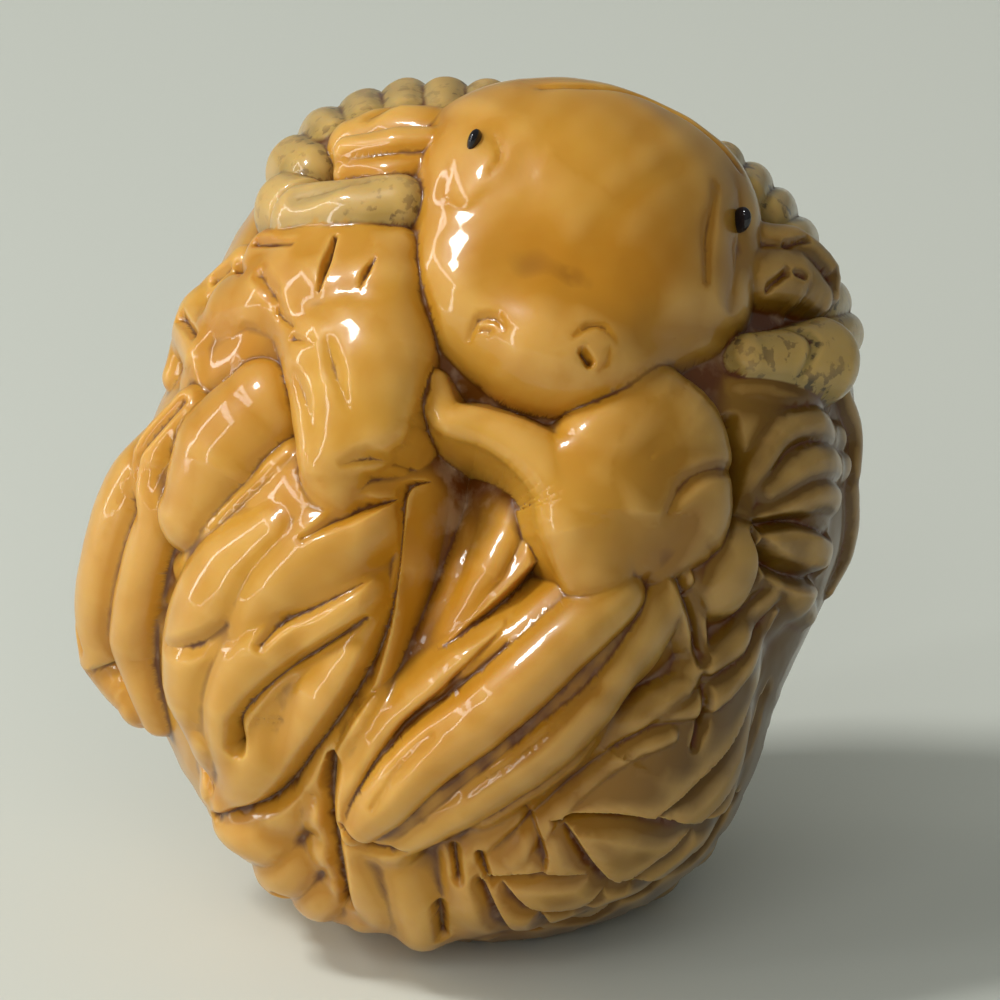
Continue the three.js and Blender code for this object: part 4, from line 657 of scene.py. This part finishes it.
def carved(dirs):
    """Height of the carved surface over the ball, how deep it is cut, and which form it belongs to."""
    q, n = on_ball(dirs), outward(dirs)
    height, depth = np.full(len(q), NOWHERE), np.zeros(len(q))
    owner = np.zeros(len(q), int)
    for index, form in enumerate(FORMS.values()):
        rise = np.full(len(q), float(form.get("base", NOWHERE)))
        for f in form["forms"]:
            m = f.near(q)
            if len(m):
                rise[m] = blend(rise[m], f.rise(q[m], n[m]), form["softness"])
        live = np.nonzero(rise > height - BURIED)[0]
        ql = q[live]
        lock, cut = np.zeros(len(live)), np.zeros(len(live))
        for f in form.get("locks", []):
            m = f.near(ql)
            if len(m):
                lock[m] = blend(lock[m], f.rise(ql[m]), LOCK_SOFTNESS)
        for f in form["grooves"]:
            m = f.near(ql)
            if len(m):
                cut[m] = blend(cut[m], f.cut(ql[m]), CUT_SOFTNESS)
        top = rise[live] + lock - cut
        over = top > height[live]
        owner[live[over]] = index
        depth[live[over]] = cut[over]
        height[live] = blend(height[live], top, EDGE_SOFTNESS)
    return height + tool_marks(q), depth, owner


def stand(points):
    """From the face's own axes to the part's, in millimetres, standing on its flat."""
    c, s = math.cos(FACE_TILT), math.sin(FACE_TILT)
    u, v, w = points.T
    return np.stack([u, v * s - w * c, v * c + w * s], 1) + BALL_CENTRE


def facet_sides(facets):
    return np.sort(np.concatenate([facets[:, [0, 1]], facets[:, [1, 2]], facets[:, [2, 0]]]), axis=1)


# The surface starts as an even ball of small facets, gathered towards the face. Then the edges that
# miss the carving by most are halved, until the piece has as many facets as it may have.
FIRST_LEVEL = 7
FACE_SHARE = 0.3
FACET_LIMIT = 190_000
PASS_SHARES = (0.6, 1.0)           # of the facets that are still allowed
BACK_FROM = -0.1                   # directions further back than this count as the back
BACK_WEIGHT = 0.35                 # how much a miss on the plainer back counts
SHORTEST_EDGE = 0.12

ball = bmesh.new()
bmesh.ops.create_icosphere(ball, subdivisions=FIRST_LEVEL, radius=1)
dirs = unit(np.array([v.co[:] for v in ball.verts]))
facets = np.array([[v.index for v in f.verts] for f in ball.faces])
ball.free()
polar = np.arccos(np.clip(dirs[:, 2], -1, 1))
gathered = polar - FACE_SHARE * np.sin(polar)
flat = np.maximum(np.hypot(dirs[:, 0], dirs[:, 1]), 1e-9)
dirs = np.stack([dirs[:, 0] / flat * np.sin(gathered),
                 dirs[:, 1] / flat * np.sin(gathered),
                 np.cos(gathered)], 1)
height, depth, owner = carved(dirs)
points = on_ball(dirs) + height[:, None] * outward(dirs)
for share in PASS_SHARES:
    edges, side_edge = np.unique(facet_sides(facets), axis=0, return_inverse=True)
    side_edge = side_edge.reshape(3, -1).T
    mid_dirs = unit(dirs[edges].sum(1))
    mid_height, mid_depth, mid_owner = carved(mid_dirs)
    mid_points = on_ball(mid_dirs) + mid_height[:, None] * outward(mid_dirs)
    miss = np.linalg.norm(mid_points - points[edges].mean(1), axis=1)
    length = np.linalg.norm(points[edges[:, 0]] - points[edges[:, 1]], axis=1)
    weight = np.where(mid_dirs[:, 2] < BACK_FROM, BACK_WEIGHT, 1)
    score = weight * miss * (length > SHORTEST_EDGE)
    most = int((FACET_LIMIT - len(facets)) / 2 * share)
    chosen = np.argsort(-score)[:most]
    new_index = np.full(len(edges), -1)
    new_index[chosen] = len(dirs) + np.arange(len(chosen))
    dirs = np.vstack([dirs, mid_dirs[chosen]])
    points = np.vstack([points, mid_points[chosen]])
    depth = np.concatenate([depth, mid_depth[chosen]])
    owner = np.concatenate([owner, mid_owner[chosen]])
    halves = new_index[side_edge]
    parts = []
    for turn in range(3):          # facets with one halved side, or two
        a, b, c = (facets[:, (turn + k) % 3] for k in range(3))
        ab, bc, ca = (halves[:, (turn + k) % 3] for k in range(3))
        one = (ab >= 0) & (bc < 0) & (ca < 0)
        parts += [np.stack(corners, 1)[one] for corners in ((a, ab, c), (ab, b, c))]
        two = (ab < 0) & (bc >= 0) & (ca >= 0)
        parts += [np.stack(corners, 1)[two] for corners in ((ca, bc, c), (a, b, bc), (a, bc, ca))]
    a, b, c = facets.T
    ab, bc, ca = halves.T
    whole = (halves < 0).all(1)
    three = (halves >= 0).all(1)
    parts += [facets[whole]]
    quarters = ((a, ab, ca), (ab, b, bc), (ca, bc, c), (ab, bc, ca))
    parts += [np.stack(corners, 1)[three] for corners in quarters]
    facets = np.vstack(parts)

points = stand(points)
points[:, 2] = np.maximum(points[:, 2], 0)     # the flat that it rests on
print("carved ram:", len(points), "corners", len(facets), "facets", points.min(0), points.max(0))

# A hair smaller than the solid, so that it stays inside the solid's box.
MARGIN = 0.01
box_low, box_high = low * 1000 + [MARGIN, MARGIN, 0], high * 1000 - MARGIN
span = points.max(0) - points.min(0)
points = box_low + (points - points.min(0)) / span * (box_high - box_low)

mesh = bpy.data.meshes.new("ram")
mesh.from_pydata(points * 0.001, [], facets.tolist())
ram = bpy.data.objects.new("ram", mesh)
bpy.context.scene.collection.objects.link(ram)

# Cuts and hollows, where stain and painted shade darken the nut, and worn edges, measured against the same
# surface smoothed out a little and a lot.
FINE_ROUNDS, BROAD_ROUNDS = 8, 120
FINE_STAIN_AND_SHADE, BROAD_STAIN_AND_SHADE = 6, 1.1   # per millimetre under the smoothed surface
WEAR = 8                           # per millimetre over it
# Deep cuts get painted shade and some dust: the mask grows with the depth of the cut.
HOLLOW_FROM, HOLLOW_RANGE = 1.4, 1.2           # depth of cut from which a hollow darkens
links = np.unique(facet_sides(facets), axis=0)
count = np.bincount(links.ravel(), minlength=len(points))


def smoothed(values, rounds):
    for _ in range(rounds):
        sums = [np.bincount(links[:, 0], values[links[:, 1], k], len(values))
                + np.bincount(links[:, 1], values[links[:, 0], k], len(values)) for k in range(3)]
        values = np.stack(sums, 1) / count[:, None]
    return values


normals = np.zeros(len(points) * 3)
mesh.vertices.foreach_get("normal", normals)
normals = normals.reshape(-1, 3)
fine = ((smoothed(points, FINE_ROUNDS) - points) * normals).sum(1)
broad = ((smoothed(points, BROAD_ROUNDS) - points) * normals).sum(1)
crevice = np.clip(np.maximum(fine * FINE_STAIN_AND_SHADE, broad * BROAD_STAIN_AND_SHADE), 0, 1)
worn = np.clip(-fine * WEAR, 0, 1)
hollow_shade_and_dust = np.clip((depth - HOLLOW_FROM) / HOLLOW_RANGE, 0, 1)
names = list(FORMS)
horny = np.isin(owner, [names.index("left_horn"), names.index("right_horn")]).astype(float)
for name, values in (("crevice", crevice), ("worn", worn), ("horny", horny), ("hollow_shade_and_dust", hollow_shade_and_dust)):
    mesh.attributes.new(name, "FLOAT", "POINT").data.foreach_set("value", values.astype(np.float32))

# Two cord holes low on the back, joined by a curved tunnel, as a netsuke hangs from its cord.
CORD_HOLE_RADIUS = 1.7
CORD_HOLE_SPACING = 10
CORD_TUNNEL_DEPTH = 5.5
CORD_PLACE = (0, -3)
CORD_RUN_OUT = (1.6, 4)            # outwards and upwards, past the surface
CORD_RINGS, CORD_SIDES = 40, 32

reach, (flare, above) = CORD_HOLE_SPACING / 2, CORD_RUN_OUT
cord_line = smooth_line([[-reach - flare, above], [-reach, 0], [0, -CORD_TUNNEL_DEPTH], [reach, 0],
                         [reach + flare, above]], CORD_RINGS)
behind = directions([CORD_PLACE], 0, back=True)
middle, out = on_ball(behind)[0], outward(behind)[0]
along_line = unit(np.gradient(cord_line, axis=0))
turn = np.linspace(0, 2 * math.pi, CORD_SIDES, endpoint=False)
sideways = np.array([1.0, 0, 0])
third = np.cross(sideways, out)
tube = bmesh.new()
loops = []
for (aside, up), (run_aside, run_up) in zip(cord_line, along_line):
    centre = middle + aside * sideways + up * out
    beside = run_up * sideways - run_aside * out
    ring = [centre + CORD_HOLE_RADIUS * (math.cos(a) * beside + math.sin(a) * third) for a in turn]
    loops.append([tube.verts.new(p) for p in stand(np.array(ring)) * 0.001])
for one, other in zip(loops, loops[1:]):
    for k in range(CORD_SIDES):
        j = (k + 1) % CORD_SIDES
        tube.faces.new((one[k], one[j], other[j], other[k]))
tube.faces.new(loops[0][::-1])
tube.faces.new(loops[-1])
bmesh.ops.recalc_face_normals(tube, faces=tube.faces)
tunnel_mesh = bpy.data.meshes.new("cord tunnel")
tube.to_mesh(tunnel_mesh)
tunnel = bpy.data.objects.new("cord tunnel", tunnel_mesh)
bpy.context.scene.collection.objects.link(tunnel)
drill = ram.modifiers.new("cord tunnel", "BOOLEAN")
drill.operation = "DIFFERENCE"
drill.object = tunnel
drill.solver = "MANIFOLD"
drilled = bpy.data.meshes.new_from_object(ram.evaluated_get(bpy.context.evaluated_depsgraph_get()))
ram.modifiers.clear()
ram.data = mesh = drilled
mesh.materials.clear()
bpy.data.objects.remove(tunnel)
mesh.polygons.foreach_set("use_smooth", np.ones(len(mesh.polygons), bool))
print("with its cord tunnel:", len(mesh.polygons), "facets")

# Polished nut: honey and amber, darker and olive low on one side, partly its own tone and partly painted
# shade on the side turned from the light; stain, painted shade and a little dust in the cuts, painted shade
# deep in the hollows, pale worn edges and flecked horns. Noise scales are per metre.
nut = bpy.data.materials.new("polished nut")
nut.use_nodes = True
tree = nut.node_tree
shader = tree.nodes["Principled BSDF"]


def node(kind, **settings):
    made = tree.nodes.new(kind)
    for key, value in settings.items():
        setattr(made, key, value)
    return made


def link(a, b):
    tree.links.new(a, b)


def attribute(name):
    return node("ShaderNodeAttribute", attribute_name=name).outputs["Fac"]


def mix(factor, a, b):
    m = node("ShaderNodeMix", data_type="RGBA")
    for socket, value in ((m.inputs["Factor"], factor), (m.inputs["A"], a), (m.inputs["B"], b)):
        if isinstance(value, bpy.types.NodeSocket):
            link(value, socket)
        elif isinstance(value, tuple):
            socket.default_value = (*value, 1)
        else:
            socket.default_value = value
    return m.outputs["Result"]


def noise(scale, detail=3.0, distortion=0.0):
    n = node("ShaderNodeTexNoise")
    link(place_of, n.inputs["Vector"])
    n.inputs["Scale"].default_value = scale
    n.inputs["Detail"].default_value = detail
    n.inputs["Distortion"].default_value = distortion
    return n.outputs["Fac"]


def ranged(value, from_low, from_high, to_low=0.0, to_high=1.0):
    r = node("ShaderNodeMapRange", clamp=True)
    link(value, r.inputs["Value"])
    for name, limit in (("From Min", from_low), ("From Max", from_high),
                        ("To Min", to_low), ("To Max", to_high)):
        r.inputs[name].default_value = limit
    return r.outputs["Result"]


def product(a, b):
    m = node("ShaderNodeMath", operation="MULTIPLY")
    for socket, value in zip(m.inputs, (a, b)):
        if isinstance(value, bpy.types.NodeSocket):
            link(value, socket)
        else:
            socket.default_value = value
    return m.outputs["Value"]


place_of = node("ShaderNodeTexCoord").outputs["Object"]
place_xyz = node("ShaderNodeSeparateXYZ")
link(place_of, place_xyz.inputs["Vector"])
HONEY = (0.51, 0.26, 0.032)
AMBER = (0.42, 0.175, 0.008)
OLIVE_AND_SHADE = (0.075, 0.034, 0.001)
STAIN_AND_SHADE = (0.085, 0.016, 0.001)
DUST = (0.46, 0.30, 0.17)
HORN = (0.30, 0.21, 0.06)
HORN_FLECK = (0.06, 0.045, 0.02)
HORN_PALE = (0.42, 0.30, 0.12)
HOLLOW_SHADE = (0.17, 0.065, 0.006)
WORN = (0.70, 0.45, 0.14)
OLIVE_SHADE_LEAN = -0.3                  # how much a place's height counts against its place to the right
OLIVE_SHADE_FROM, OLIVE_SHADE_TO = -0.004, 0.007           # metres
OLIVE_AND_SHADE_SHARE = 0.92
HORN_SHARE = 0.8
HOLLOW_SHADE_SHARE = 0.65
STAIN_AND_SHADE_SHARE = 0.9
WORN_SHARE = 0.35
DUST_SHARE = 0.3
HOLLOW_DUST_SHARE = 0.35

clouds = noise(scale=90, detail=4, distortion=0.4)
colour = mix(ranged(clouds, 0.35, 0.65), HONEY, AMBER)
# the nut is darker and greener towards its right side and its base: partly its own olive tone, partly
# painted shade on the side turned from the light
lowness = node("ShaderNodeMath", operation="MULTIPLY_ADD")
link(place_xyz.outputs["Z"], lowness.inputs[0])
lowness.inputs[1].default_value = OLIVE_SHADE_LEAN
link(place_xyz.outputs["X"], lowness.inputs[2])
olive_and_shade = ranged(lowness.outputs["Value"], OLIVE_SHADE_FROM, OLIVE_SHADE_TO)
# painted shade on the right and low side, mixed with the nut's olive tone
colour = mix(product(olive_and_shade, OLIVE_AND_SHADE_SHARE), colour, OLIVE_AND_SHADE)
flecks = ranged(noise(scale=1500), 0.56, 0.62)
pale_patches = ranged(noise(scale=160), 0.45, 0.65)
speckled = mix(pale_patches, mix(flecks, HORN, HORN_FLECK), HORN_PALE)
colour = mix(product(attribute("horny"), HORN_SHARE), colour, speckled)
# painted shade deep in the hollows, such as under the chin
colour = mix(product(attribute("hollow_shade_and_dust"), HOLLOW_SHADE_SHARE), colour, HOLLOW_SHADE)
# stain and painted shade in the cuts, darkest where they are deep and broad
colour = mix(product(ranged(attribute("crevice"), 0.2, 0.75), STAIN_AND_SHADE_SHARE), colour, STAIN_AND_SHADE)
colour = mix(product(ranged(attribute("worn"), 0.3, 1), WORN_SHARE), colour, WORN)
dusty = product(ranged(attribute("crevice"), 0.55, 1), ranged(noise(scale=900, detail=4), 0.5, 0.65))
colour = mix(product(dusty, DUST_SHARE), colour, DUST)
dusty_hollow = product(attribute("hollow_shade_and_dust"), ranged(noise(scale=700, detail=5), 0.5, 0.62))
colour = mix(product(dusty_hollow, HOLLOW_DUST_SHARE), colour, DUST)
link(colour, shader.inputs["Base Color"])
link(ranged(noise(scale=350, detail=5), 0.3, 0.7, 0.28, 0.42), shader.inputs["Roughness"])
for name, value in (("Specular IOR Level", 0.2), ("IOR", 1.52),
                    ("Subsurface Weight", 0.35), ("Subsurface Radius", (1.0, 0.45, 0.12)),
                    ("Subsurface Scale", 0.002), ("Coat Weight", 0.5), ("Coat Roughness", 0.06)):
    shader.inputs[name].default_value = value
mesh.materials.append(nut)

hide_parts("carved_ram")
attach(ram, "root")

# ---------------------------------------------------------------- the inlaid eyes
# Small pegs of black horn, tapped into drilled sockets and polished down with the face. Each one is
# the solid's own peg, rounded. The ram's surface closes round it and has no socket here.
WELD = 1e-6                        # metres, joins the corners that the peg's facets share
ROUNDING = 2


def plain_material(name, colour, roughness):
    made = bpy.data.materials.new(name)
    made.use_nodes = True
    inputs = made.node_tree.nodes["Principled BSDF"].inputs
    inputs["Base Color"].default_value = (*colour, 1)
    inputs["Roughness"].default_value = roughness
    return made


pupil = plain_material("black horn", (0.006, 0.005, 0.007), 0.08)
for eye in ("left_eye", "right_eye"):
    peg = bmesh.new()
    peg.from_mesh(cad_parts[eye].data)
    bmesh.ops.remove_doubles(peg, verts=peg.verts, dist=WELD)
    peg_mesh = bpy.data.meshes.new(eye + "_inlay")
    peg.to_mesh(peg_mesh)
    peg.free()
    inlay = bpy.data.objects.new(eye + "_inlay", peg_mesh)
    bpy.context.scene.collection.objects.link(inlay)
    rounding = inlay.modifiers.new("rounding", "SUBSURF")
    rounding.levels = ROUNDING
    rounded = bpy.data.meshes.new_from_object(inlay.evaluated_get(bpy.context.evaluated_depsgraph_get()))
    inlay.modifiers.clear()
    inlay.data = rounded
    rounded.materials.clear()
    rounded.materials.append(pupil)
    rounded.polygons.foreach_set("use_smooth", np.ones(len(rounded.polygons), bool))
    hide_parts(eye)
    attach(inlay, "root")

# ---------------------------------------------------------------- floor and lights
# A wide pale floor in a dim studio. A window and a small lamp on the left show in the polish. The wide
# light in front only brightens the face and doesn't show in it.
FLOOR_SIZE = 8.0
STUDIO_COLOUR = (0.78, 0.82, 0.78)
STUDIO_STRENGTH = 0.26
bpy.ops.mesh.primitive_plane_add(size=FLOOR_SIZE)
floor = bpy.context.object
floor.name = "floor"
floor.data.materials.append(plain_material("pale floor", (0.62, 0.64, 0.57), 0.6))

world = bpy.data.worlds.new("studio")
world.use_nodes = True
world.node_tree.nodes["Background"].inputs["Color"].default_value = (*STUDIO_COLOUR, 1)
world.node_tree.nodes["Background"].inputs["Strength"].default_value = STUDIO_STRENGTH
bpy.context.scene.world = world
bpy.context.scene.view_settings.view_transform = "Standard"


def soft_light(name, where, size, power, shines=True):
    lamp = bpy.data.lights.new(name, "AREA")
    lamp.shape = "RECTANGLE"
    lamp.size, lamp.size_y = size
    lamp.energy = power
    light = bpy.data.objects.new(name, lamp)
    light.visible_glossy = shines
    turn = (aim - Vector(where)).to_track_quat("-Z", "Y").to_matrix().to_4x4()
    light.matrix_world = Matrix.Translation(where) @ turn
    bpy.context.scene.collection.objects.link(light)


# The window stands low on the left: four bars of light round a dark pane, a ring in the polish.
WINDOW_AT = (-0.58, -0.08, 0.20)
PANE = (0.50, 0.44)
BAR = 0.04
WINDOW_POWER = 2.6
window_place = Vector(WINDOW_AT)
window_turn = (aim - window_place).to_track_quat("-Z", "Y").to_matrix()
rail, post = (PANE[0] + BAR, BAR), (BAR, PANE[1] - BAR)
for name, shift, size in (("top", (0, 1), rail), ("bottom", (0, -1), rail),
                          ("left", (-1, 0), post), ("right", (1, 0), post)):
    offset = window_turn @ Vector((shift[0] * PANE[0] / 2, shift[1] * PANE[1] / 2, 0))
    soft_light("window " + name, tuple(window_place + offset), size, WINDOW_POWER / 4)
soft_light("key", where=(-0.40, -0.08, 0.56), size=(0.12, 0.09), power=2.7)
soft_light("front", where=(-0.10, -0.75, 0.40), size=(0.6, 0.6), power=3.0, shines=False)
